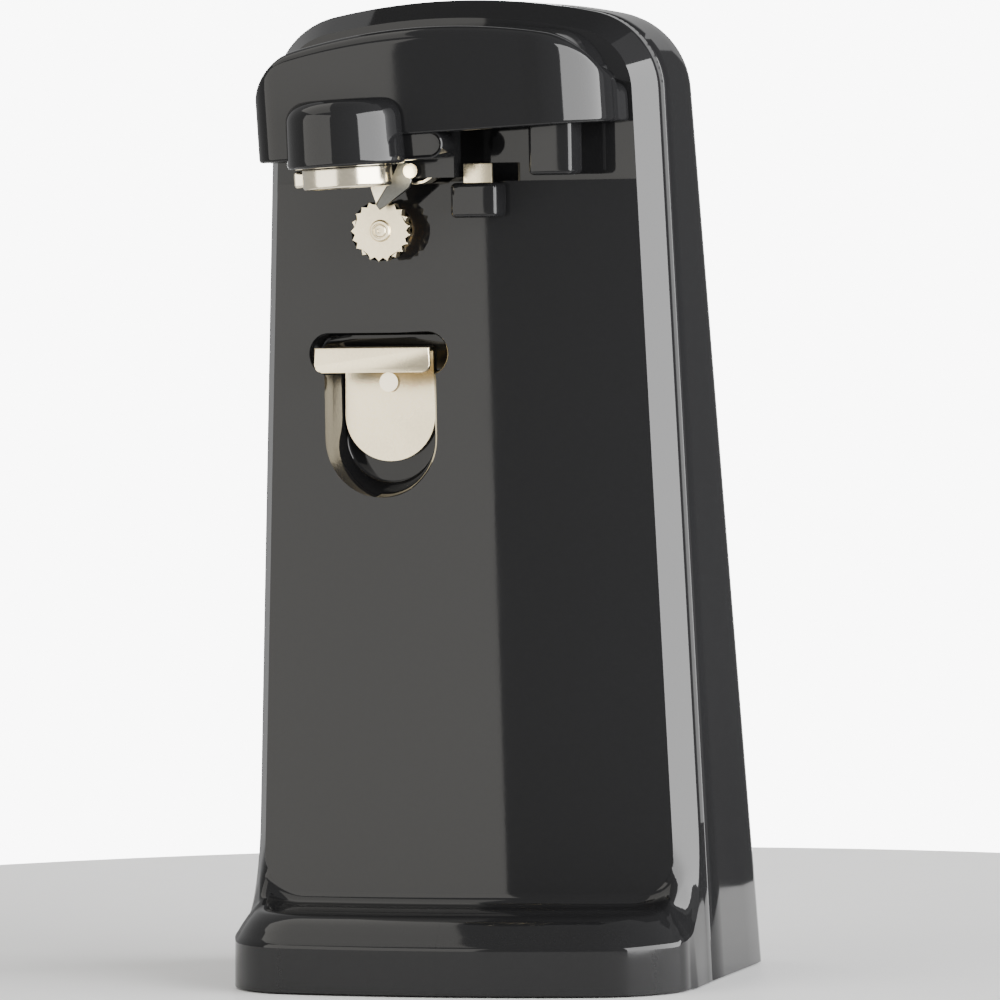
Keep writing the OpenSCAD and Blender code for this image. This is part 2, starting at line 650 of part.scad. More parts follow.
switchBack = chassisY - 0.3;
module switch_body() color([0.15, 0.15, 0.16]) difference() {
    box([buttonX - 10, bevelY + wall, buttonZ - 4], [buttonX + 10, switchBack, buttonZ + 4]);
    rod(buttonX, buttonZ, buttonR + running, bevelY, bevelY + wall + 4.2);
    rod(buttonX, buttonZ, 1.6, bevelY + wall + 4, bevelY + wall + 7);
}
module switch_button() color([0.75, 0.2, 0.15]) {
    rod(buttonX, buttonZ, buttonR, bevelY - 2.2, bevelY + wall + 3.4);
    rod(buttonX, buttonZ, 1.3, bevelY + wall + 3.3, bevelY + wall + 6);
}

// bottle opener

openThick = 1.4;
webZ = pocketTop - 3.5;
lipY = face_at(openX) - 4.6;
module bottle_opener() color([0.86, 0.84, 0.78]) difference() {
    union() {
        along_y(pocketFloor - openThick, pocketFloor)
            slot_shape(openX, plateHalf, pocketTop - 32.2, webZ, plateHalf - 0.2);
        box([openX - plateHalf, lipY, webZ - openThick], [openX + plateHalf, pocketFloor, webZ]);
        along_y(lipY, lipY + openThick) slot_shape(openX, 14.9, webZ - 6.2, webZ, 1.8);
    }
    rod(openX, pocketTop - 12.5, 1.6 + fit_gap, -60, 60);
}
module opener_rivet() color([0.8, 0.8, 0.8]) {
    rod(openX, pocketTop - 12.5, 1.6, pocketFloor - openThick - 0.1, pocketFloor + 2.2);
    rod(openX, pocketTop - 12.5, 2.4, pocketFloor - openThick - 0.9, pocketFloor - openThick);
}

// cutting head on the housing

canX = wheelX + 18.2;
canZ = wheelZ + 2.9;
module can_guide() color([0.1, 0.1, 0.1]) difference() {
    along_y(faceY - 8.8, faceY + 2) polygon([[canX, canZ], [canX + 11.8, canZ],
        [canX + 11.8, canZ + 8.6], [canX + 2.4, canZ + 8.6], [canX, canZ + 6]]);
    translate([0, faceY + faceR, 0]) cylinder(h = 300, r = faceR + 0.02, $fn = 240);
    box([canX + 3, faceY - 7.4, canZ + 5.6], [canX + 10.5, faceY - 5.8, canZ + 12]);
    rod(canX + 4, canZ + 3, 1.6 + fit_gap, faceY - 5.4, faceY + 6);
}
module guide_screw() color([0.8, 0.8, 0.8])
    screw_y(canX + 4, canZ + 3, 1.6, faceY - 5.2, faceY + wall + 0.35, 1);
module rim_plate() color([0.86, 0.84, 0.78])
    box([canX + 3.1, faceY - 7.3, canZ + 5.7], [canX + 10.4, faceY - 5.9, canZ + 13.4]);

module pivot_stud() color([0.8, 0.8, 0.8]) {
    rod(pivotX, pivotZ, 3, leverFront + wall + 1.6, bevelY + 5);
    rod(pivotX, pivotZ, 4.2, bevelY + 5, bevelY + 7);
    rod(pivotX, pivotZ, 4.6, leverFront + wall + 0.4, leverFront + wall + 1.7);
}

// lever

module lever_outline(d, z0) {
    arc = arcR - d;
    slope = taper;
    polygon(concat([[leverHalf - d, z0], [leverHalf - d - slope * (leverTop - 16 - z0), leverTop - 16]],
        [for (i = [1:6]) let (a = i * 13)
            [leverHalf - d - 12.5 + 12.5 * cos(a) - slope * 8, leverTop - 16 - d + 12 * sin(a)]],
        [for (i = [-5:5]) let (x = -i * (leverHalf - 16) / 5)
            [x, leverTop - d - arc + sqrt(arc * arc - x * x)]],
        [for (i = [6:-1:1]) let (a = i * 13)
            [-(leverHalf - d - 12.5 + 12.5 * cos(a) - slope * 8), leverTop - 16 - d + 12 * sin(a)]],
        [[-(leverHalf - d - slope * (leverTop - 16 - z0)), leverTop - 16], [-(leverHalf - d), z0]]));
}
module lever_block(d, z0) intersection() {
    along_y(leverFront + d, d > 0 ? 0 : leverBack) lever_outline(d, z0);
    translate([0, 0, z0 - 1]) linear_extrude(80) union() {
        translate([-100, leverFront + lever_right_corner]) square([200, 200]);
        translate([-100, leverFront + lever_corner]) square([100, 100]);
        translate([-(leverHalf - lever_corner), leverFront + d])
            square([2 * leverHalf - lever_corner - lever_right_corner, 100]);
        translate([-(leverHalf - lever_corner), leverFront + lever_corner]) circle(r = lever_corner - d);
        translate([leverHalf - lever_right_corner, leverFront + lever_right_corner])
            circle(r = lever_right_corner - d, $fn = 72);
    }
    translate([-100, 0, 0]) rotate([90, 0, 90]) linear_extrude(200)
        polygon([[leverFront + d, z0 - 1], [leverFront + d, leverTop - 6],
            [leverFront + d + 1.2, leverTop - 3 - d], [leverFront + d + 4.5, leverTop - 1 - d / 2],
            [leverFront + d + 9, leverTop + 1], [5, leverTop + 1], [5, z0 - 1]]);
}
module lever_cover() color([0.09, 0.09, 0.1]) lever_place() difference() {
    union() {
        lever_block(0, leverBottom);
        // lobe over the pivot
        intersection() {
            lever_block(0, leverBottom - 4.6);
            box([-100, -100, 0], [pivotX + 6.5, 0, 400]);
        }
        translate([domeX, domeY, domeBottom]) rotate_extrude($fn = 64) polygon(concat([[0, 0],
            [dome_radius, 0]], [for (i = [0:6]) [dome_radius - 0.3 - domeEdge + domeEdge * cos(15 * i),
                dome_height - domeEdge + domeEdge * sin(15 * i)]], [[0, dome_height]]));
    }
    difference() {
        lever_block(wall, leverBottom - 10);
        translate([domeX, domeY, domeBottom - 1]) cylinder(h = 22, r = dome_radius, $fn = 64);
        for (p = leverScrews) translate([p[0], p[1], deckZ + 2.2]) cylinder(h = 40, r = 3.6);
    }
    translate([domeX, domeY, domeBottom - 1]) cylinder(h = 9.5, r = dome_radius - 2.6, $fn = 48);
    rod(pivotX, pivotZ, 6.3, leverFront + wall, 0);
    translate([domeX - 20, domeY, magnetPivot]) rotate([0, 90, 0]) cylinder(h = 40, r = 1 + 0.02, $fn = 20);
    // room for the deck where it passes behind the dome
    translate([0, 0, deckZ - 0.1]) linear_extrude(2.4) deck_shape(0.2);
    for (p = leverScrews) translate([p[0], p[1], deckZ]) cylinder(h = 12, r = screwR + fit_gap, $fn = 20);
}
leverScrews = [[12, (leverFront + leverBack) / 2 - 4], [leverHalf - 8.5, leverBack - 6]];
module deck_shape(g) difference() {
    translate([pivotX - 4 - g, leverFront + wall + 1.8 - g])
        square([leverHalf - 3.2 - pivotX + 4 + 2 * g, leverBack - 2.4 - leverFront - wall - 1.8 + g]);
    translate([domeX, domeY]) circle(r = dome_radius + 0.4 - g);
    difference() {
        translate([leverHalf - lever_right_corner, leverFront]) square(lever_right_corner);
        translate([leverHalf - lever_right_corner, leverFront + lever_right_corner])
            circle(r = lever_right_corner - wall - 0.8 + g, $fn = 72);
    }
}
postY0 = faceY - 10.8;
postY1 = faceY - 4.6;
module lever_frame() color([0.3, 0.3, 0.32]) difference() {
    union() {
        lever_place() translate([0, 0, deckZ]) linear_extrude(2.2) deck_shape(0);
        rod(pivotX, pivotZ, 5, leverFront + wall + 2, leverBack - 0.3);
        // post that carries the blade
        box([wheelX + 5.4, postY0, wheelZ + 12.9], [wheelX + 20, postY1, deckZ + 1.5]);
    }
    rod(pivotX, pivotZ, 3 + running, -60, 0);
    rod(wheelX + 9.4, wheelZ + 14.7, 1.1 + fit_gap, -60, postY0 + 3.2, 20);
    for (p = leverScrews) lever_place() translate([p[0], p[1], 0])
        cylinder(h = 400, r = screwR + fit_gap, $fn = 20);
}
module lever_screws() color([0.75, 0.75, 0.76]) for (p = leverScrews) lever_place()
    translate([p[0], p[1], deckZ]) {
        cylinder(h = 8, r = screwR, $fn = 20);
        translate([0, 0, -1.6]) cylinder(h = 1.6, r = 2 * screwR, $fn = 24);
    }
legX = 0.21 * column_width;
module lever_leg() color([0.1, 0.1, 0.1]) difference() {
    box([legX, faceY - 19.2, wheelZ + 13.1], [legX + 11, faceY - 4.4, deckZ + 6]);
    lever_place() box([-100, -100, deckZ - fit_gap], [100, 100, deckZ + 60]);
}

// blade

bladeY = postY0 - blade_thick;
module blade() color([0.8, 0.79, 0.76]) difference() {
    along_y(bladeY, postY0) polygon([[wheelX - 1.2, wheelZ + 10.4], [wheelX + 0.7, wheelZ + 5.2],
        [wheelX + 2.6, wheelZ + 6.2], [wheelX + 8.8, wheelZ + 10.6], [wheelX + 12, wheelZ + 13.4],
        [wheelX + 12, wheelZ + 18], [wheelX + 6.4, wheelZ + 18], [wheelX + 6.4, wheelZ + 12.4]]);
    rod(wheelX + 9.4, wheelZ + 14.7, 1.1 + fit_gap, -90, 60, 20);
}
module blade_rivet() color([0.85, 0.85, 0.85]) {
    rod(wheelX + 9.4, wheelZ + 14.7, 1.1, bladeY - 0.1, postY0 + 3, 20);
    rod(wheelX + 9.4, wheelZ + 14.7, 1.8, bladeY - 0.8, bladeY, 24);
}
springPath = [[8.4, 10.6], [11.4, 10.6], [16.4, 13.2], [20.6, 14.4], [21.6, 17.4]];
module rim_spring() color([0.85, 0.83, 0.78]) {
    along_y(postY1 + 0.4, postY1 + 3.2) polygon(concat(
        [for (p = springPath) [wheelX + p[0], wheelZ + p[1] + 0.9]],
        [for (i = [4:-1:0]) [wheelX + springPath[i][0] - 0.25, wheelZ + springPath[i][1] + 1.4]]));
    box([wheelX + 20.1, postY1 - 4, wheelZ + 15.4], [wheelX + 20.7, postY1 + 3.2, wheelZ + 20]);
}

// lid magnet

module magnet_pin() color([0.8, 0.8, 0.8]) lever_place()
    translate([domeX - dome_radius + 0.4, domeY, magnetPivot]) rotate([0, 90, 0])
        cylinder(h = 2 * dome_radius - 0.8, r = 1, $fn = 20);
module magnet_cup() color([0.88, 0.86, 0.8]) lever_place() difference() {
    union() {
        translate([domeX, domeY, magnetTop - magnet_height]) cylinder(h = magnet_height, r = magnet_radius);
        box([domeX - 6, domeY - 3, magnetTop - 0.1], [domeX - 4.6, domeY + 3, magnetPivot + 2.4]);
        box([domeX + 4.6, domeY - 3, magnetTop - 0.1], [domeX + 6, domeY + 3, magnetPivot + 2.4]);
        // ear at the left
        box([domeX - magnet_radius - 3, domeY + 0.6, magnetTop - 5.6],
            [domeX - magnet_radius + 1, domeY + 1.8, magnetTop - 1.5]);
    }
    translate([domeX, domeY, magnetTop - magnet_height - 1])
        cylinder(h = magnet_height, r = magnet_radius - 1);
    translate([domeX - 20, domeY, magnetPivot]) rotate([0, 90, 0])
        cylinder(h = 40, r = 1 + running, $fn = 20);
}
module magnet_disc() color([0.2, 0.2, 0.21]) lever_place()
    translate([domeX, domeY, magnetTop - magnet_height + 0.3])
        cylinder(h = magnet_height - 1.4, r = magnet_radius - 1 - 0.05);

front_housing();
rear_housing();
base_plate();
feet();
housing_screws();
base_screws();
chassis_plate();
chassis_screws();
gear_studs();
stud_clips();
stator();
bobbin();
coil();
front_bracket();
rear_bracket();
motor_bearings();
motor_screws();
output_bushing();
switch_body();
bottle_opener();
opener_rivet();
can_guide();
guide_screw();
rim_plate();
cord_gland();
pivot_stud();
lever_cover();
lever_frame();
lever_screws();
lever_leg();
blade();
blade_rivet();
rim_spring();
magnet_pin();
magnet_cup();
magnet_disc();
drive_wheel();
output_shaft();
output_gear();
second_gear();
first_gear();
rotor_core();
motor_shaft();
motor_pinion();
switch_button();
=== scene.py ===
import json
import math
import bpy
import bmesh
from mathutils import Matrix, Vector

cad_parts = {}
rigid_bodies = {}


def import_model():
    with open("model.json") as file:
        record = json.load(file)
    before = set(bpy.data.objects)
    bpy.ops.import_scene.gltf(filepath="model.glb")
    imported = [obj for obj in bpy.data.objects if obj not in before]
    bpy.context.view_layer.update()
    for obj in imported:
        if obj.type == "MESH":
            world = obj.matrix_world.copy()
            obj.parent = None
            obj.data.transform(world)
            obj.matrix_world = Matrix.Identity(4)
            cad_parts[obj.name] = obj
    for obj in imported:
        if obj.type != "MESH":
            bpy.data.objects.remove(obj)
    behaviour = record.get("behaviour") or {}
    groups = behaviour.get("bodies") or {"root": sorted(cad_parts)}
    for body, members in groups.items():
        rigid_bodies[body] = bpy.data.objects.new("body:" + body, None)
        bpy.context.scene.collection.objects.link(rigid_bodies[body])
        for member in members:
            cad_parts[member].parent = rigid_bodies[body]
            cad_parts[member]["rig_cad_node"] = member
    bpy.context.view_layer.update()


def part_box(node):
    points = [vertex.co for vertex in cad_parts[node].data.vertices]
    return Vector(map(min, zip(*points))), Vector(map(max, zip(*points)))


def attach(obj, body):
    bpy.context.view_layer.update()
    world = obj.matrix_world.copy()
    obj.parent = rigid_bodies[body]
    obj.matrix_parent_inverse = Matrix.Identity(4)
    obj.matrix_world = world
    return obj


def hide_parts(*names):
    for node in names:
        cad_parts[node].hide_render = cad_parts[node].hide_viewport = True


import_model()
mm = 0.001
print("frame loaded")

# shape of the column, in mm, the same numbers as the CAD
column = {"height": 245.0, "half": 58.65, "topHalf": 49.1, "rise": 7.6, "corner": 20.3,
          "strip": 4.4, "bevelIn": 4.6, "bevelY": -14.3, "bulge": 5.6, "foot": 0.5}
taper = (column["half"] - column["topHalf"]) / column["height"]
arcR = (column["topHalf"] ** 2 + column["rise"] ** 2) / (2 * column["rise"])
arcZ = column["height"] - arcR


def box(name):
    lo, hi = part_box(name)
    return [v / mm for v in lo], [v / mm for v in hi]


def middle(name):
    lo, hi = box(name)
    return [(a + b) / 2 for a, b in zip(lo, hi)]


def halfAt(z):
    return column["half"] - taper * z


def cornerPoint():
    # centre of the circle between the leaning side and the top arc
    slant = math.hypot(1, taper)
    n = Vector((1 / slant, taper / slant))
    t = Vector((-n.y, n.x))
    b = (column["half"] / slant - column["corner"]) * n - Vector((0, arcZ))
    s = -b.dot(t) + math.sqrt(b.dot(t) ** 2 - (b.dot(b) - (arcR - column["corner"]) ** 2))
    return (column["half"] / slant - column["corner"]) * n + s * t


cornerC = cornerPoint()
angSide = math.atan2(taper, 1)
angTop = math.atan2(cornerC.y - arcZ, cornerC.x)


def lerp(a, b, t):
    return a + (b - a) * t


def smooth(t):
    t = min(max(t, 0), 1)
    return t * t * (3 - 2 * t)


def arch(inset, low=0.0, sideSteps=30, cornerSteps=14, topSteps=14):
    # right half of the column outline from z = low up to the middle of the top, moved in
    topZ = cornerC.y + (column["corner"]) * math.sin(angSide)
    pts = []
    for i in range(sideSteps):
        z = lerp(low, topZ, i / sideSteps)
        pts.append(Vector((halfAt(z) - inset, z)))
    for i in range(cornerSteps):
        a = lerp(angSide, angTop, i / cornerSteps)
        pts.append(cornerC + (column["corner"] - inset) * Vector((math.cos(a), math.sin(a))))
    for i in range(topSteps + 1):
        a = lerp(angTop, math.pi / 2, i / topSteps)
        pts.append(Vector((0, arcZ)) + (arcR - inset) * Vector((math.cos(a), math.sin(a))))
    return pts


# mesh helpers

def addRings(bm, rings, closed=False):
    # skins a list of equal-length rows of points
    rows = [[bm.verts.new(p) for p in ring] for ring in rings]
    for a, b in zip(rows, rows[1:]):
        n = len(a)
        for i in range(n if closed else n - 1):
            j = (i + 1) % n
            bm.faces.new((a[i], a[j], b[j], b[i]))
    return rows


def closedLoft(bm, loops):
    rows = addRings(bm, loops, closed=True)
    bm.faces.new(rows[0][::-1])
    bm.faces.new(rows[-1])


def mirrorX(bm):
    made = bmesh.ops.duplicate(bm, geom=bm.verts[:] + bm.edges[:] + bm.faces[:])["geom"]
    for v in made:
        if isinstance(v, bmesh.types.BMVert):
            v.co.x = -v.co.x
    bmesh.ops.reverse_faces(bm, faces=[f for f in made if isinstance(f, bmesh.types.BMFace)])


weld = 0.002  # mm within which points are one


def tidy(bm):
    bmesh.ops.remove_doubles(bm, verts=bm.verts[:], dist=weld)
    bmesh.ops.dissolve_degenerate(bm, edges=bm.edges[:], dist=weld / 4)
    bmesh.ops.recalc_face_normals(bm, faces=bm.faces[:])


def newObject(name, bm, mat):
    mesh = bpy.data.meshes.new(name)
    bm.to_mesh(mesh)
    bm.free()
    mesh.materials.append(mat)
    obj = bpy.data.objects.new(name, mesh)
    bpy.context.scene.collection.objects.link(obj)
    return obj


def piece(name, bm, mat, body, nodes=(), sharp=35, turn=None, recalc=True):
    # shades by angle, scales mm to metres and files the piece with the frame
    if recalc:
        tidy(bm)
    if turn is not None:
        bm.transform(turn)
    bm.transform(Matrix.Scale(mm, 4))
    for f in bm.faces:
        f.smooth = True
    for e in bm.edges:
        e.smooth = len(e.link_faces) != 2 or e.calc_face_angle(0) < math.radians(sharp)
    obj = newObject(name, bm, mat)
    if body is None:
        return obj
    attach(obj, body)
    if nodes:
        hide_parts(*nodes)
    return obj


def turned(bm, profile, centre, axis="y", steps=64):
    # full turn of (radius, along) points about an axis through centre
    n = len(profile)
    rings = []
    for k in range(steps):
        a = 2 * math.pi * k / steps
        ring = []
        for r, h in profile:
            u, v = r * math.cos(a), r * math.sin(a)
            p = {"y": (u, h, v), "z": (u, v, h)}[axis]
            ring.append(Vector(p) + Vector(centre))
        rings.append(ring)
    rows = [[bm.verts.new(p) for p in ring] for ring in rings]
    for k in range(steps):
        a, b = rows[k], rows[(k + 1) % steps]
        for i in range(n - 1):
            bm.faces.new((a[i], a[i + 1], b[i + 1], b[i]))


def roundBox(bm, lo, hi, r=0.6, segments=3):
    made = bmesh.ops.create_cube(bm, size=1)["verts"]
    for v in made:
        for i in range(3):
            v.co[i] = lo[i] if v.co[i] < 0 else hi[i]
    edges = dict.fromkeys(e for v in made for e in v.link_edges)
    bmesh.ops.bevel(bm, geom=list(edges), offset=r, segments=segments, profile=0.5,
                    affect="EDGES", material=-1)


def boxPiece(name, lo, hi, r, segments, mat, body, node, slot):
    # a rounded block that stands in for one CAD node
    bm = bmesh.new()
    roundBox(bm, lo, hi, r, segments)
    piece(name, bm, mat, body, [node])


def prism(bm, outline, y0, y1, r=0.3, segments=2):
    # flat XZ outline made solid along Y with its rims rounded
    front = [bm.verts.new((x, y0, z)) for x, z in outline]
    back = [bm.verts.new((x, y1, z)) for x, z in outline]
    caps = [bm.faces.new(front), bm.faces.new(back[::-1])]
    n = len(outline)
    for i in range(n):
        j = (i + 1) % n
        bm.faces.new((front[j], front[i], back[i], back[j]))
    if r:
        rims = dict.fromkeys(e for f in caps for e in f.edges)
        bmesh.ops.bevel(bm, geom=list(rims), offset=r, segments=segments, profile=0.5,
                        affect="EDGES", material=-1)


# materials

def mat(name, base, rough, metal=0.0, grain=(900, 0.02), wear=0.03, bump=0.02,
        stretch=(1, 1, 1), spec=0.5):
    m = bpy.data.materials.new(name)
    m.use_nodes = True
    nodes, links = m.node_tree.nodes, m.node_tree.links
    shader = nodes["Principled BSDF"]
    shader.inputs["Base Color"].default_value = (*base, 1)
    shader.inputs["Metallic"].default_value = metal
    shader.inputs["Specular IOR Level"].default_value = spec
    place = nodes.new("ShaderNodeTexCoord")
    scale = nodes.new("ShaderNodeMapping")
    scale.inputs["Scale"].default_value = stretch
    links.new(place.outputs["Object"], scale.inputs["Vector"])
    # broad patches of slightly different gloss, and fine grain for the surface
    patch = nodes.new("ShaderNodeTexNoise")
    patch.inputs["Scale"].default_value = 35
    patch.inputs["Detail"].default_value = 4
    fine = nodes.new("ShaderNodeTexNoise")
    fine.inputs["Scale"].default_value = grain[0]
    fine.inputs["Detail"].default_value = 3
    for n in (patch, fine):
        links.new(scale.outputs["Vector"], n.inputs["Vector"])
    gloss = nodes.new("ShaderNodeMapRange")
    gloss.inputs["From Min"].default_value = 0.3
    gloss.inputs["From Max"].default_value = 0.7
    gloss.inputs["To Min"].default_value = max(rough - wear, 0.01)
    gloss.inputs["To Max"].default_value = rough + wear
    links.new(patch.outputs["Fac"], gloss.inputs["Value"])
    links.new(gloss.outputs["Result"], shader.inputs["Roughness"])
    tone = nodes.new("ShaderNodeMix")
    tone.data_type = "RGBA"
    tone.inputs["A"].default_value = (*[c * (1 - grain[1] * 3) for c in base], 1)
    tone.inputs["B"].default_value = (*[min(c * (1 + grain[1] * 3), 1) for c in base], 1)
    links.new(fine.outputs["Fac"], tone.inputs["Factor"])
    links.new(tone.outputs["Result"], shader.inputs["Base Color"])
    relief = nodes.new("ShaderNodeBump")
    relief.inputs["Strength"].default_value = bump
    relief.inputs["Distance"].default_value = 0.0003
    links.new(fine.outputs["Fac"], relief.inputs["Height"])
    links.new(relief.outputs["Normal"], shader.inputs["Normal"])
    return m


gloss = mat("glossBlack", (0.009, 0.009, 0.0095), 0.045, wear=0.015, bump=0.004, spec=0.31)
glossLever = mat("glossBlackLever", (0.009, 0.009, 0.0095), 0.06, wear=0.02, bump=0.004, spec=0.31)
satin = mat("satinBlack", (0.02, 0.02, 0.02), 0.42, bump=0.12)
nickel = mat("nickel", (0.86, 0.75, 0.52), 0.26, 1.0, (1400, 0.04), 0.07, 0.05)
nickelBright = mat("nickelBright", (0.92, 0.83, 0.64), 0.2, 1.0, (1400, 0.03), 0.05, 0.03)
bladeSteel = mat("bladeSteel", (0.13, 0.13, 0.12), 0.3, 1.0, (1500, 0.06), 0.08, 0.06)
steel = mat("zincSteel", (0.62, 0.62, 0.62), 0.34, 1.0, (1100, 0.05), 0.08, 0.08)
darkSteel = mat("darkSteel", (0.08, 0.08, 0.085), 0.4, 0.6, (900, 0.05), 0.08, 0.08)
stack = mat("stackIron", (0.2, 0.2, 0.21), 0.5, 0.8, (500, 0.12), 0.1, 0.3, stretch=(1, 8, 1))
copper = mat("copperWire", (0.72, 0.34, 0.16), 0.35, 0.9, (700, 0.15), 0.1, 0.4, stretch=(1, 1, 6))
bronze = mat("bronze", (0.62, 0.46, 0.24), 0.4, 1.0, (1500, 0.08), 0.08, 0.1)
nylon = mat("nylon", (0.8, 0.78, 0.7), 0.45, grain=(700, 0.02), wear=0.06, bump=0.06)
bobbinMat = mat("bobbinMoulding", (0.7, 0.66, 0.55), 0.5, grain=(700, 0.03), wear=0.06, bump=0.06)
rubber = mat("rubber", (0.02, 0.02, 0.02), 0.7, grain=(1600, 0.1), wear=0.08, bump=0.3)
ferrite = mat("ferrite", (0.06, 0.06, 0.062), 0.6, grain=(1200, 0.1), wear=0.08, bump=0.2)
redPlastic = mat("redPlastic", (0.5, 0.05, 0.03), 0.4, grain=(900, 0.03), bump=0.05)
print("materials made")

cadMaterials = {
    "base_plate": satin, "feet": rubber, "housing_screws": steel, "base_screws": steel,
    "chassis_plate": steel, "chassis_screws": steel, "gear_studs": steel, "stud_clips": darkSteel,
    "stator": stack, "bobbin": bobbinMat, "coil": copper, "front_bracket": steel,
    "rear_bracket": steel, "motor_bearings": bronze, "motor_screws": steel,
    "output_bushing": bronze, "switch_body": satin, "cord_gland": rubber, "pivot_stud": steel,
    "lever_frame": darkSteel, "lever_screws": steel, "magnet_pin": steel,
    "magnet_disc": ferrite, "output_gear": steel, "second_gear": nylon, "first_gear": nylon,
    "rotor_core": stack, "motor_shaft": steel, "motor_pinion": bronze,
    "switch_button": redPlastic, "blade_rivet": nickelBright, "opener_rivet": nickelBright,
}
for obj in bpy.context.scene.objects:
    node = obj.get("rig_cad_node")
    if node in cadMaterials:
        obj.data.materials.clear()
        obj.data.materials.append(cadMaterials[node])


# front shell

foot = {"half": 59.25, "front": -44.1, "rise": 7.8, "corner": 23.6, "top": 11.9,
        "flareTop": 40.0, "cornerY": -17.4}
panel = {"low": 23.6, "ledge": 200.0, "corner": 11.0}


def footPlan(steps=28):
    # right half of the foot's plan from the seam forward and round to the middle
    h, s, r, f = foot["half"], foot["rise"], foot["corner"], foot["front"]
    arcRadius = (h * h + s * s) / (2 * s)
    cx = h - r
    cy = f + arcRadius - math.sqrt((arcRadius - r) ** 2 - cx * cx)
    a1 = math.atan2(cy - f - arcRadius, cx)
    pts = []
    for i in range(steps + 1):
        a = a1 * i / steps
        pts.append(Vector((cx + r * math.cos(a), cy + r * math.sin(a))))
    for i in range(1, steps + 1):
        a = lerp(a1, -math.pi / 2, i / steps)
        pts.append(Vector((arcRadius * math.cos(a), f + arcRadius + arcRadius * math.sin(a))))
    return pts


def flare(t):
    # edge between bevel and side as it sweeps forward into the foot: (y, z) for t from 0 to 1
    a = t * math.pi / 2
    y = -column["strip"] - (1 - math.cos(a)) * (-foot["cornerY"] - column["strip"] + 8)
    z = foot["top"] + 0.9 + (foot["flareTop"] - foot["top"] - 0.9) * (1 - math.sin(a)) ** 1.25
    return y, z


def outerEdge(flareSteps=20):
    # from the bottom middle of the foot round to the side and up over the arch
    plan = footPlan()
    startY = flare(1)[0]
    pts = [Vector((p.x - 0.25, p.y, foot["top"])) for p in reversed(plan) if p.y < startY - 0.3]
    for i in range(flareSteps, -1, -1):
        y, z = flare(i / flareSteps)
        x = halfAt(z)
        if y < foot["cornerY"]:
            # follow the rounded corner of the plan
            c = foot["half"] - foot["corner"]
            dy = foot["cornerY"] - y
            x = min(x, c + math.sqrt(max(foot["corner"] ** 2 - dy * dy, 0)) - 0.25)
        pts.append(Vector((x, y, z)))
    for p in arch(0, foot["flareTop"])[1:]:
        pts.append(Vector((p.x, -column["strip"], p.y)))
    return pts


def innerEdge():
    # round the panel: bottom middle, rounded corner, up the side, over the arch
    z0, r = panel["low"], panel["corner"]
    side = halfAt(z0 + r) - column["bevelIn"]
    pts = []
    for i in range(30):
        x = (side - r) * i / 30
        pts.append(Vector((x, faceY(x, z0) - 0.02, z0)))
    for i in range(21):
        a = math.pi / 2 * i / 20
        x = side - r + r * math.sin(a)
        z = z0 + r - r * math.cos(a)
        k = smooth(i / 20)
        pts.append(Vector((x, lerp(faceY(x, z) - 0.02, column["bevelY"], k), z)))
    for p in arch(column["bevelIn"], z0 + r)[1:]:
        pts.append(Vector((p.x, column["bevelY"], p.y)))
    return pts


def faceY(x, z):
    h = halfAt(z) - column["bevelIn"]
    u = min(abs(x) / h, 1)
    return column["bevelY"] - column["bulge"] * (1 - u * u)


def resample(pts, marks, counts):
    # evenly spaced points between marked places along a path
    out = []
    for (a, b), n in zip(zip(marks, marks[1:]), counts):
        seg = pts[a:b + 1]
        length = [0]
        for p, q in zip(seg, seg[1:]):
            length.append(length[-1] + (q - p).length)
        for i in range(n):
            want = length[-1] * i / n
            j = 0
            while j < len(seg) - 2 and length[j + 1] < want:
                j += 1
            span = length[j + 1] - length[j] or 1
            out.append(seg[j].lerp(seg[j + 1], (want - length[j]) / span))
    out.append(pts[marks[-1]])
    return out


def nearest(pts, test):
    return min(range(len(pts)), key=lambda i: test(pts[i]))


def nearestOn(side, pts, test):
    # the same, among the points that side picks out
    return nearest(pts, lambda p: test(p) + (0 if side(p) else 99))


def band():
    # the bevel frame and apron: outer edge, inner edge and the profile between them
    outer, inner = outerEdge(), innerEdge()
    counts = (40, 26, 34, 26, 26)
    corner, flareTop = cornerC, foot["flareTop"]

    def rightSide(p):
        return p.x > 30

    def overTop(p):
        return p.z > 200

    def upper(pts):
        return [nearestOn(rightSide, pts, lambda p: abs(p.z - corner.y)),
                nearestOn(overTop, pts, lambda p: abs(p.x - corner.x)), len(pts) - 1]

    oMarks = [0, nearestOn(lambda p: p.y <= -20, outer, lambda p: abs(p.x - 52) + abs(p.z - 12)),
              nearest(outer, lambda p: abs(p.z - flareTop) + abs(p.y + column["strip"]))]
    iMarks = [0, nearestOn(lambda p: p.z < panel["low"] + 1, inner, lambda p: abs(p.x - 42.5)),
              nearestOn(rightSide, inner, lambda p: abs(p.z - flareTop))]
    return (resample(outer, oMarks + upper(outer), counts),
            resample(inner, iMarks + upper(inner), counts))


outerLoop, innerLoop = band()


apron = {"fade": 27.0, "blend": 13.0, "run": 5.6, "rise": 7.0, "fillet": 3.4}


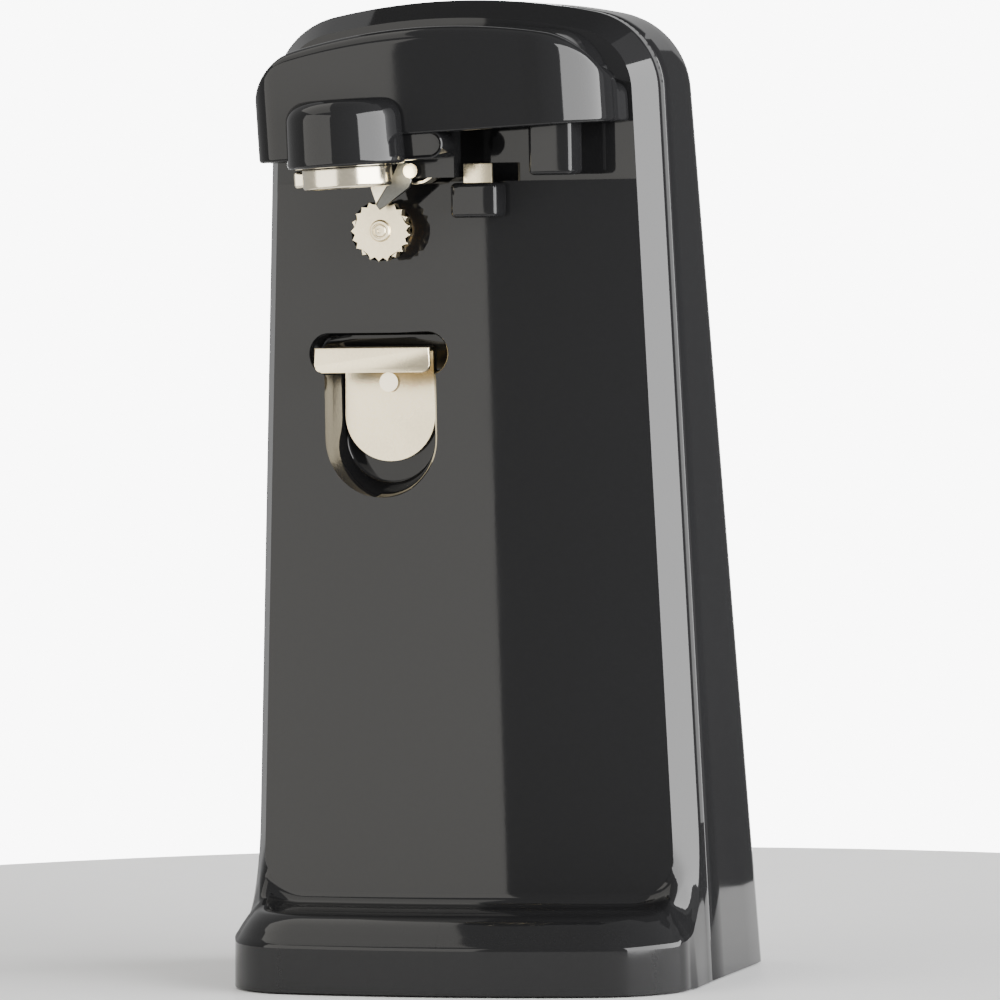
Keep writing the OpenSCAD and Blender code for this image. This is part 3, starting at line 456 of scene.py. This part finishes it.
def apronProfile(d, h, steps=6):
    # (distance in, height) from the skirt's top: chamfer, shelf, fillet up to the face
    run, rise = min(apron["run"], d * 0.45), min(apron["rise"], h * 0.6)
    r = min(apron["fillet"], d * 0.3)
    shelf = h - r
    pts = [(0, 0), (0.35, 0.75), (0.9, 1.4)]
    pts += [(run * a, rise * b) for a, b in ((0.35, 0.42), (0.65, 0.72), (1, 1))]
    turn = min(5.0, (d - r - run) * 0.6)
    knee = rise + (shelf - rise) * 0.75
    pts += [(run + turn * t, lerp(knee, rise, (1 - t) ** 2)) for t in (0.3, 0.6, 1)]
    pts += [(d - r, shelf)]
    for i in range(1, steps + 1):
        a = math.pi / 2 * i / steps
        pts.append((d - r + r * math.sin(a), shelf + r - r * math.cos(a)))
    return pts


bandSteps = (0, 0.03, 0.07, 0.14, 0.24, 0.34, 0.42, 0.5, 0.58, 0.67, 0.76, 0.85, 0.91, 0.95,
             0.98, 1)


seamY = -0.15  # front side of the groove between the two shells


def frontShell():
    # flat bevel on the column that turns into the chamfer and shelf of the foot
    bm = bmesh.new()
    cols = []
    for a, b in zip(outerLoop, innerLoop):
        low = smooth((apron["fade"] - a.z) / apron["blend"])
        flat = Vector((b.x - a.x, b.y - a.y, 0))
        d = flat.length
        way = flat / d
        shaped = [(d * t, (b.z - a.z) * t) for t in bandSteps]
        if d > 6:
            shaped = apronProfile(d, b.z - a.z)
        col = []
        for t, (run, rise) in zip(bandSteps, shaped):
            straight = a.lerp(b, t)
            straight.y += 0.2 * (1 - min(t / 0.03, 1, (1 - t) / 0.02))
            apronPoint = a + way * run + Vector((0, 0, rise))
            col.append(straight.lerp(apronPoint, low))
        cols.append(col)
    addRings(bm, cols)
    # side strip up the column and over the arch
    n0 = nearest(outerLoop, lambda p: abs(p.z - foot["flareTop"]) + (0 if p.x > 40 else 99))
    up = outerLoop[n0:]
    strip = [[Vector((p.x, p.y, p.z)) for p in up],
             [Vector((p.x, -0.5, p.z)) for p in up],
             [Vector((p.x * 0.997, seamY, arcMove(p, 0.35))) for p in up]]
    addRings(bm, strip)
    # wall of the foot, from the seam forward
    low = outerLoop[:n0 + 1]
    seam = Vector((halfAt(column["foot"]), seamY, column["foot"]))
    cols = []
    for p in reversed(low):
        if p.y > foot["cornerY"]:
            bottom = Vector((foot["half"] - 0.35 * smooth((p.y + 17) / 12), p.y, column["foot"]))
        else:
            bottom = Vector((p.x + 0.25, p.y, column["foot"]))
        cols.append([p, p.lerp(bottom, 0.04), p.lerp(bottom, 0.25), p.lerp(bottom, 0.6), bottom])
    first = outerLoop[n0]
    seamCol = [Vector((first.x, seamY, first.z))]
    seamCol += [Vector((halfAt(z), seamY, z)) for z in (38, 30, 14)] + [seam]
    addRings(bm, [seamCol] + cols)
    mirrorX(bm)
    return bm


def arcMove(p, d):
    return p.z - d * smooth((p.z - 200) / 40)


piece("frontFrame", frontShell(), gloss, "housing", ["front_housing"], sharp=50)
print("front frame made")


def facePanel():
    # closed block with the bulged face in front, so the opener's pocket can be cut from it
    bm = bmesh.new()
    low, r = panel["low"] - 1.2, panel["corner"] - 0.4
    zs = [low + r * (1 - math.cos(math.pi / 2 * i / 12)) for i in range(13)]
    zs += [lerp(low + r, panel["ledge"], i / 60) for i in range(1, 61)]
    cols, wide = 56, math.sin(math.pi / 2 * 0.8)
    front, back = [], []
    for z in zs:
        w = halfAt(z) - column["bevelIn"] + 0.05
        if z < low + r:
            w += math.sqrt(max(r * r - (low + r - z) ** 2, 0)) - r
        xs = [w * math.sin((c / cols * 2 - 1) * math.pi / 2 * 0.8) / wide for c in range(cols + 1)]
        front.append([Vector((x, faceY(x, z), z)) for x in xs])
        back.append([Vector((x, -4.2, z)) for x in xs])
    f, k = addRings(bm, front), addRings(bm, back)
    for a, c in ((f[0], k[0]), (f[-1], k[-1]), ([row[0] for row in f], [row[0] for row in k]),
                 ([row[-1] for row in f], [row[-1] for row in k])):
        for i in range(len(a) - 1):
            bm.faces.new((a[i], a[i + 1], c[i + 1], c[i]))
    return bm


def seat():
    # flat wall behind the lever
    bm = bmesh.new()
    arc = arch(column["bevelIn"] - 0.1, panel["ledge"] - 2, 12, 14, 14)
    addRings(bm, [[Vector((-p.x, column["bevelY"], p.y)) for p in arc],
                  [Vector((p.x, column["bevelY"], p.y)) for p in arc]])
    return bm


pocket = {"x": -19.82, "top": 162.8, "low": 122.0, "front": 14.9, "back": 11.95, "floor": -7.0,
          "bar": 18.35, "barHeight": 10.4}


def slotOutline(cx, h, z0, z1, r, steps=14):
    pts = [(cx - h, z1), (cx + h, z1)]
    pts += [(cx + h - r + r * math.cos(a), z0 + r - r * math.sin(a))
            for a in [math.pi / 2 * i / steps for i in range(steps + 1)]]
    pts += [(cx - h + r - r * math.sin(a), z0 + r - r * math.cos(a))
            for a in [math.pi / 2 * i / steps for i in range(steps + 1)]]
    return pts


def pocketTools():
    dish = bmesh.new()
    p = pocket
    z = p["low"] + p["front"]
    loops = []
    front, back, floor = p["front"], p["back"], p["floor"]
    for y, h in ((-27, front + 1.5), (-19.6, front + 0.5), (-18.9, front),
                 (-14, lerp(front, back, 0.55)), (floor - 1.2, back + 0.25),
                 (floor - 0.3, back - 0.1), (floor, back - 0.8)):
        outline = slotOutline(p["x"], h, z - h, p["top"] - 5, h - 0.05, 24)
        loops.append([Vector((x, y, q)) for x, q in outline])
    closedLoft(dish, loops)
    bar = bmesh.new()
    r = p["barHeight"] / 2
    half = p["bar"] - r
    loops = []
    for y, g in ((-27, 1.2), (-20.2, 0.6), (-19.4, 0.05), (floor - 1, 0), (floor - 0.2, -0.8)):
        ring = [(half + (r + g) * math.cos(a), (r + g) * math.sin(a)) for a in
                [math.radians(-90 + 180 * i / 20) for i in range(21)]]
        ring += [(-x, -q) for x, q in ring]
        loops.append([Vector((p["x"] + x, y, p["top"] - r + q)) for x, q in ring])
    closedLoft(bar, loops)
    return dish, bar


def carve(bm, tools):
    # cuts closed meshes out of a closed mesh
    objs = []
    for k, b in enumerate([bm, *tools]):
        tidy(b)
        mesh = bpy.data.meshes.new(f"carve{k}")
        b.to_mesh(mesh)
        b.free()
        objs.append(bpy.data.objects.new(f"carve{k}", mesh))
        bpy.context.scene.collection.objects.link(objs[-1])
    for t in objs[1:]:
        m = objs[0].modifiers.new("cut", "BOOLEAN")
        m.operation, m.object, m.solver = "DIFFERENCE", t, "EXACT"
    graph = bpy.context.evaluated_depsgraph_get()
    done = bpy.data.meshes.new_from_object(objs[0].evaluated_get(graph))
    out = bmesh.new()
    out.from_mesh(done)
    for o in objs:
        mesh = o.data
        bpy.data.objects.remove(o)
        bpy.data.meshes.remove(mesh)
    return out


def faceNormal(x, z):
    d = 0.01
    fx = (faceY(x + d, z) - faceY(x - d, z)) / (2 * d)
    fz = (faceY(x, z + d) - faceY(x, z - d)) / (2 * d)
    return Vector((fx, -1, fz)).normalized()


def trueNormals(obj, normal, near=0.9):
    # keeps reflections smooth across the cut surface
    mesh = obj.data
    made = []
    for poly in mesh.polygons:
        for li in poly.loop_indices:
            v = mesh.vertices[mesh.loops[li].vertex_index].co / mm
            n = normal(v.x, v.z)
            made.append(n if poly.normal.dot(n) > near else mesh.corner_normals[li].vector)
    mesh.normals_split_custom_set([tuple(n) for n in made])


face = piece("facePanel", carve(facePanel(), pocketTools()), gloss, "housing", [],
             sharp=50, recalc=False)
trueNormals(face, faceNormal, 0.985)
seatObj = piece("leverSeat", seat(), gloss, "housing", [])
trueNormals(seatObj, faceNormal)
print("face made")


# rear shell

rear = {"base": 59.5, "top": 34.4, "radius": 12.0}


def rearDepth(z):
    return lerp(rear["base"], rear["top"], z / column["height"])


def rearShell():
    bm = bmesh.new()
    low = column["foot"]
    outline = arch(0, low, 30, 16, 16)
    ring = [Vector((p.x, p.y)) for p in outline]
    rows = []
    full = ring + [Vector((-p.x, p.y)) for p in reversed(ring[:-1])]
    rows.append([Vector((p.x * 0.994, -seamY, p.y - 0.3 * (p.y > 200))) for p in full])
    rows.append([Vector((p.x, 0.55, p.y)) for p in full])
    for k in (0.25, 0.5, 0.75, 1.0):
        rows.append([Vector((p.x, lerp(0.55, rearDepth(p.y) - rear["radius"], k), p.y))
                     for p in full])
    # rounded rear edge, then the back
    for k in range(1, 11):
        a = math.pi / 2 * k / 10
        d = rear["radius"] * (1 - math.cos(a))
        back = rear["radius"] * math.sin(a)
        row = []
        inner = arch(d, low, 30, 16, 16)
        inner = inner + [Vector((-q.x, q.y)) for q in reversed(inner[:-1])]
        for p, q in zip(full, inner):
            row.append(Vector((q.x, rearDepth(q.y) - rear["radius"] + back, q.y)))
        rows.append(row)
    edge = rows[-1]
    for k in range(1, 5):
        rows.append([Vector((p.x * (1 - k / 4), rearDepth(p.z), p.z)) for p in edge])
    addRings(bm, rows)
    return bm


piece("rearShell", rearShell(), gloss, "housing", ["rear_housing"], sharp=45)
print("rear made")


# lever

pivot = Vector((-36.41, 0, 216))
leverRest = math.radians(-2.9)  # the lever hangs a little to the right at rest
tilt = (Matrix.Translation(pivot) @ Matrix.Rotation(leverRest, 4, "Y")
        @ Matrix.Translation(-pivot))
hood = {"half": 44.4, "right": 43.0, "front": -43.5, "back": -14.9, "low": 210.2, "lobe": 205.6,
        "top": 236.2, "rightR": 17.0, "leftR": 8.0, "shoulder": 11.0, "roll": 3.6, "flare": 1.7,
        "flareFrom": -22.5, "bowX": -24.0, "bowR": 330.0}


def hoodPlan(inset, steps=14):
    # plan of the hood from the back left round the front to the back right
    pts = []
    left, right, back = -hood["half"] + inset, hood["right"] - inset, hood["back"]
    rL, rR = max(hood["leftR"] - inset * 0.5, 1), max(hood["rightR"] - inset * 0.5, 1)

    def front(x):
        return hood["front"] + inset + (x - hood["bowX"]) ** 2 / (2 * hood["bowR"])

    turnL = math.atan((left + rL - hood["bowX"]) / hood["bowR"])
    turnR = math.atan((right - rR - hood["bowX"]) / hood["bowR"])
    cL = Vector((left + rL, front(left + rL) + rL * math.cos(turnL)))
    cR = Vector((right - rR, front(right - rR) + rR * math.cos(turnR)))
    for i in range(9):
        pts.append(Vector((left, lerp(back, cL.y, i / 9))))
    for i in range(steps + 1):
        a = lerp(-math.pi / 2, turnL, i / steps)
        pts.append(cL + rL * Vector((math.sin(a), -math.cos(a))))
    for i in range(1, 30):
        x = lerp(pts[9 + steps].x, cR.x + rR * math.sin(turnR), i / 30)
        pts.append(Vector((x, front(x))))
    for i in range(steps + 1):
        a = lerp(turnR, math.pi / 2, i / steps)
        pts.append(cR + rR * Vector((math.sin(a), -math.cos(a))))
    for i in range(1, 13):
        y = lerp(cR.y, back, i / 12)
        out = hood["flare"] * smooth((y - hood["flareFrom"]) / (back - hood["flareFrom"])) ** 1.5
        pts.append(Vector((right + out, y)))
    return pts


def hoodTop(x, inset=0.0):
    # flat arc with rounded shoulders
    h = (hood["right"] if x > 0 else hood["half"]) + 0.6 - inset
    arc = hood["top"] - inset - (x * x) / (2 * arcR)
    edge = min(max(abs(x) - (h - hood["shoulder"]), 0), hood["shoulder"])
    return arc - (hood["shoulder"] - math.sqrt(hood["shoulder"] ** 2 - edge ** 2)) * 0.9


def hoodLow(p):
    return lerp(hood["lobe"], hood["low"], smooth((p.x + 30.5) / 2.5))


def hoodShell():
    bm = bmesh.new()
    plan = hoodPlan(0)
    roll = hood["roll"]
    edge = [max(hoodTop(p.x) - roll, hoodLow(p) + 2) for p in plan]
    rows = []
    for inset, up in ((2.6, 1.2), (1.6, 0.2), (0.6, 0), (0.15, 0.3), (0, 0.9)):
        rows.append([Vector((q.x, min(q.y, hood["back"]), hoodLow(p) + up))
                     for p, q in zip(plan, hoodPlan(inset))])
    for k in range(1, 11):
        rows.append([Vector((p.x, p.y, lerp(hoodLow(p) + 0.9, z, k / 10)))
                     for p, z in zip(plan, edge)])
    for k in range(1, 13):
        a = math.pi / 2 * k / 12
        inner = hoodPlan(roll * (1 - math.cos(a)))
        rows.append([Vector((q.x, q.y, z + roll * math.sin(a))) for z, q in zip(edge, inner)])
    # the top surface runs back to the seat
    last = rows[-1]
    for k in range(1, 7):
        row = []
        for p in last:
            y = lerp(p.y, hood["back"], k / 6)
            row.append(Vector((p.x, y, p.z + 0.9 * k / 6)))
        rows.append(row)
    addRings(bm, rows)
    return bm


dome = {"x": -19.4, "y": -45.0, "r": 14.5, "low": 203.2, "top": 219.8, "edge": 5.2}


def domeProfile():
    r, low, top, e = dome["r"], dome["low"], dome["top"], dome["edge"]
    prof = [(r - 2.2, low + 6), (r - 2.0, low + 0.4), (r - 1.4, low), (r - 0.5, low + 0.2),
            (r, low + 0.9)]
    prof += [(r - 0.25 * i / 6, lerp(low + 0.9, top - e, i / 6)) for i in range(1, 7)]
    for i in range(1, 15):
        a = math.pi / 2 * i / 14
        prof.append((r - 0.25 - e + e * math.cos(a), top - e + e * math.sin(a)))
    prof += [(4, top + 0.15), (0.01, top + 0.2)]
    return prof


arm = {"left": dome["x"] + 6, "right": 4.6, "low": 203.9, "top": 211.0, "corner": 3.6}


def leverArm():
    # rounded bar that runs from the dome to the right under the hood
    bm = bmesh.new()
    rings = []
    x0, x1, z0, z1, r = arm["left"], arm["right"], arm["low"], arm["top"], arm["corner"]
    quarter = [math.pi / 2 * i / 10 for i in range(11)]
    for y, inset in ((-41.5, 1.0), (-42.2, 0.4), (-41.9, 0.1), (-41.2, 0), (-31, 0)):
        ring = [(x0, z1 - inset), (x0, z0 + inset)]
        ring += [(x1 - r + (r - inset) * math.sin(a), z0 + r - (r - inset) * math.cos(a))
                 for a in quarter]
        ring += [(x1 - r + (r - inset) * math.cos(a), z1 - r + (r - inset) * math.sin(a))
                 for a in quarter]
        rings.append([Vector((x, y, z)) for x, z in ring])
    closedLoft(bm, rings)
    return bm


deckGap, legGap, frontPart = 1.5, 1.0, -26


def hoodFront(x, inset):
    # where the front wall of the hood stands at x
    wall = [p for p in hoodPlan(inset) if p.y < frontPart]
    return min(wall, key=lambda p: abs(p.x - x)).y


def deckCopy():
    # the lever's deck, drawn in to stay behind the curved front of the hood
    bm = bmesh.new()
    bm.from_mesh(bpy.data.objects["lever_frame"].data)
    bm.transform(Matrix.Scale(1 / mm, 4))
    bm.transform(tilt.inverted())
    bmesh.ops.remove_doubles(bm, verts=bm.verts[:], dist=weld)
    for v in bm.verts:
        if v.co.x > hood["right"] - hood["rightR"] - 8:
            v.co.y = max(v.co.y, hoodFront(v.co.x, deckGap))
    return bm


piece("leverHood", hoodShell(), glossLever, "lever", ["lever_cover"], sharp=50,
      turn=tilt)
bm = bmesh.new()
turned(bm, domeProfile(), (dome["x"], dome["y"], 0), "z", 96)
piece("magnetDome", bm, glossLever, "lever", [], sharp=50, turn=tilt)
piece("leverArm", leverArm(), glossLever, "lever", [], turn=tilt)
piece("leverDeck", deckCopy(), glossLever, "lever", ["lever_frame"], turn=tilt)
print("lever made")


# cutter, wheel and guides

wheel = middle("drive_wheel")
wheelLo, wheelHi = box("drive_wheel")


gear = {"teeth": 21, "tip": 7.6, "root": 6.5}


def driveWheel():
    bm = bmesh.new()
    tip, root = gear["tip"], gear["root"]
    pts = []
    for i in range(gear["teeth"]):
        for f, r in ((0.0, root), (0.42, tip * 0.99), (0.5, tip), (0.58, tip * 0.99), (0.98, root)):
            a = 2 * math.pi * (i + f) / gear["teeth"]
            pts.append((wheel[0] + r * math.cos(a), wheel[2] + r * math.sin(a)))
    prism(bm, pts, wheelLo[1], wheelHi[1], 0.12, 1)
    return bm


piece("driveWheel", driveWheel(), nickel, "drive", ["drive_wheel"], sharp=25)


def shaftEnd():
    # riveted end of the shaft: dished middle, groove and rim, then the shaft and its collar
    bm = bmesh.new()
    y, collar = wheelLo[1], wheelLo[1] + 4.6
    turned(bm, [(0.01, y - 0.35), (0.5, y - 0.35), (0.62, y - 0.6), (1.35, y - 0.65),
                (1.5, y - 0.5), (1.62, y - 0.42), (1.78, y - 0.42), (1.9, y - 0.7),
                (2.35, y - 0.72), (2.6, y - 0.5), (2.72, y - 0.1), (2.8, y + 0.1),
                (2.4, y + 0.4), (2.4, collar), (3.95, collar + 0.1),
                (3.95, -1.2), (2.4, -1.1), (2.4, 3.7), (0.01, 3.78)], (wheel[0], 0, wheel[2]))
    return bm


piece("shaftEnd", shaftEnd(), nickel, "drive", ["output_shaft"])

lo, hi = box("can_guide")
boxPiece("canGuide", lo, (hi[0], hi[1] + 1, hi[2]), 1.3, 5, gloss, "housing", "can_guide",
         "black_gloss")
lo, hi = box("lever_leg")
boxPiece("leverLeg", (lo[0], max(lo[1], hoodFront(hi[0], legGap)), lo[2]), hi, 1.4, 5, glossLever,
         "lever", "lever_leg", "black_gloss")
boxPiece("rimPlate", *box("rim_plate"), 0.3, 2, nickel, "housing", "rim_plate", "nickel")

cup = {"top": 204.1, "r": 11.0}


def magnetCup():
    # shallow turned cup with the tongue that shows at its left
    bm = bmesh.new()
    cx, cy, top, r = dome["x"], dome["y"], cup["top"], cup["r"]
    turned(bm, [(0.01, top - 4.4), (r - 1.4, top - 4.4), (r - 1.2, top - 5.6), (r - 0.8, top - 6),
                (r - 0.35, top - 5.9), (r - 0.05, top - 5.5), (r, top - 5), (r, top - 1.2),
                (r - 0.15, top - 0.6), (r - 0.6, top - 0.15), (r - 1.2, top), (2, top + 0.1),
                (0.01, top + 0.1)], (cx, cy, 0), "z", 96)
    roundBox(bm, (cx - 14, cy + 0.3, top - 5.3), (cx - r + 2, cy + 2.3, top - 1.1), 0.95, 5)
    return bm


piece("magnetCup", magnetCup(), nickelBright, "magnet", ["magnet_cup"], turn=tilt)

bm = bmesh.new()
x, z = wheel[0], wheel[2]
lo, hi = box("blade")
prism(bm, [(x + 0.2, z + 6.4), (x + 1.0, z + 5.2), (x + 2.6, z + 6.2), (x + 8.8, z + 10.6),
           (x + 9.4, z + 12.4), (x + 8.2, z + 16.6), (x + 6.2, z + 16.8), (x + 4.6, z + 13.4)],
      lo[1], hi[1], 0.15, 1)
piece("blade", bm, bladeSteel, "lever", ["blade"])
bm = bmesh.new()
prism(bm, [(x - 1.2, z + 10.4), (x + 0.1, z + 6.6), (x + 4.4, z + 13.2), (x + 4.4, z + 14.6),
           (x - 0.8, z + 14.6)], hi[1] - 0.9, hi[1], 0.12, 1)
piece("bladeWing", bm, nickelBright, "lever", [])

bm = bmesh.new()
lo, hi = box("rim_spring")
path = [(7.6, 10.9), (9.4, 10.4), (11.6, 10.7), (14.2, 12.4), (17.0, 13.0), (17.6, 15.2)]
outline = [(x + a, z + b + 0.9) for a, b in path]
outline += [(x + a - 0.25, z + b + 1.4) for a, b in reversed(path)]
prism(bm, outline, lo[1], hi[1], 0.08, 1)
piece("rimSpring", bm, nickelBright, "lever", ["rim_spring"])
print("cutter made")


# bottle opener

plate = {"half": 11.65, "bendHalf": 11.6, "lipHalf": 14.9, "lip": 6.2, "thick": 1.4}


def opener():
    bm = bmesh.new()
    lo, hi = box("bottle_opener")
    x, top, front, back = (lo[0] + hi[0]) / 2, hi[2], lo[1], hi[1]
    half, lipHalf, thick = plate["half"], plate["lipHalf"], plate["thick"]
    prism(bm, slotOutline(x, half, lo[2], top - 0.2, 11.5, 18), back - thick, back, 0.3)
    prism(bm, slotOutline(x, lipHalf, top - plate["lip"], top, 1.8, 6), front, front + thick, 0.35)
    # the bend that joins the lip to the plate
    roundBox(bm, (x - plate["bendHalf"], front + 0.7, top - thick),
             (x + plate["bendHalf"], back - 0.4, top - 0.05), 0.3, 2)
    return bm


piece("bottleOpener", opener(), nickel, "housing", ["bottle_opener"])
print("opener made")


# stage

def emitter(name, centre, size, aim, strength, colour=(1, 1, 1)):
    bm = bmesh.new()
    bmesh.ops.create_grid(bm, x_segments=1, y_segments=1, size=0.5)
    bmesh.ops.scale(bm, vec=(size[0], size[1], 1), verts=bm.verts[:])
    d = (Vector(aim) - Vector(centre)).normalized()
    bm.transform(Matrix.Translation(centre) @ d.to_track_quat("Z", "Y").to_matrix().to_4x4())
    m = bpy.data.materials.new(name)
    m.use_nodes = True
    n = m.node_tree.nodes
    n.clear()
    out = n.new("ShaderNodeOutputMaterial")
    e = n.new("ShaderNodeEmission")
    e.inputs["Color"].default_value = (*colour, 1)
    e.inputs["Strength"].default_value = strength
    m.node_tree.links.new(e.outputs[0], out.inputs[0])
    newObject(name, bm, m)


centre, warm = (0, 0, 0.12), (1.0, 0.98, 0.93)
emitter("leftBox", (-1.94, -2.26, 0.08), (3.44, 3.8), centre, 3.0, warm)
emitter("overBox", (-1.76, -0.7, 2.28), (2.3, 2.8), (-1.76, -0.7, 0), 2.2, warm)
emitter("rightBox", (2.48, -0.35, 0.38), (3.9, 2.8), centre, 11.5)
emitter("blackBack", (1.32, 2.5, 0.48), (2.0, 4.4), centre, 0.1)
emitter("blackTop", (0.1, 2.3, 2.88), (3.2, 2.2), centre, 0.1)
emitter("backdrop", (-0.716, 2.5, 0.01), (0.72, 0.72), (0.588, -2.015, 0.2086), 9.0)

world = bpy.data.worlds.new("studio")
bpy.context.scene.world = world
world.use_nodes = True
world.node_tree.nodes["Background"].inputs["Color"].default_value = (1, 1, 1, 1)
world.node_tree.nodes["Background"].inputs["Strength"].default_value = 0.5

disc = {"radius": 300, "centre": (-40, 90, 0)}
bm = bmesh.new()
bmesh.ops.create_circle(bm, cap_ends=True, radius=disc["radius"], segments=96)
bmesh.ops.translate(bm, vec=disc["centre"], verts=bm.verts[:])
floorMat = mat("paleFloor", (0.9, 0.9, 0.9), 0.6, grain=(60, 0.005), bump=0.01)
piece("floor", bm, floorMat, None)

# camera

shot = {"place": (0.58807, -2.0146, 0.208592), "yaw": 16.12, "pitch": -2.41, "roll": -1.005,
        "lens": 302.7}
yaw, pitch, roll = (math.radians(shot[k]) for k in ("yaw", "pitch", "roll"))
look = Vector((-math.sin(yaw) * math.cos(pitch), math.cos(yaw) * math.cos(pitch), math.sin(pitch)))
level = Vector((math.cos(yaw), math.sin(yaw), 0))
upright = level.cross(look)
right = math.cos(roll) * level + math.sin(roll) * upright
up = -math.sin(roll) * level + math.cos(roll) * upright
camData = bpy.data.cameras.new("camera")
camData.sensor_width = 36
camData.lens = shot["lens"]
camData.clip_end = 100
cam = bpy.data.objects.new("camera", camData)
bpy.context.scene.collection.objects.link(cam)
turnedTo = Matrix((right, up, -look)).transposed().to_4x4()
cam.matrix_world = Matrix.Translation(shot["place"]) @ turnedTo
bpy.context.scene.camera = cam

print("scene done")
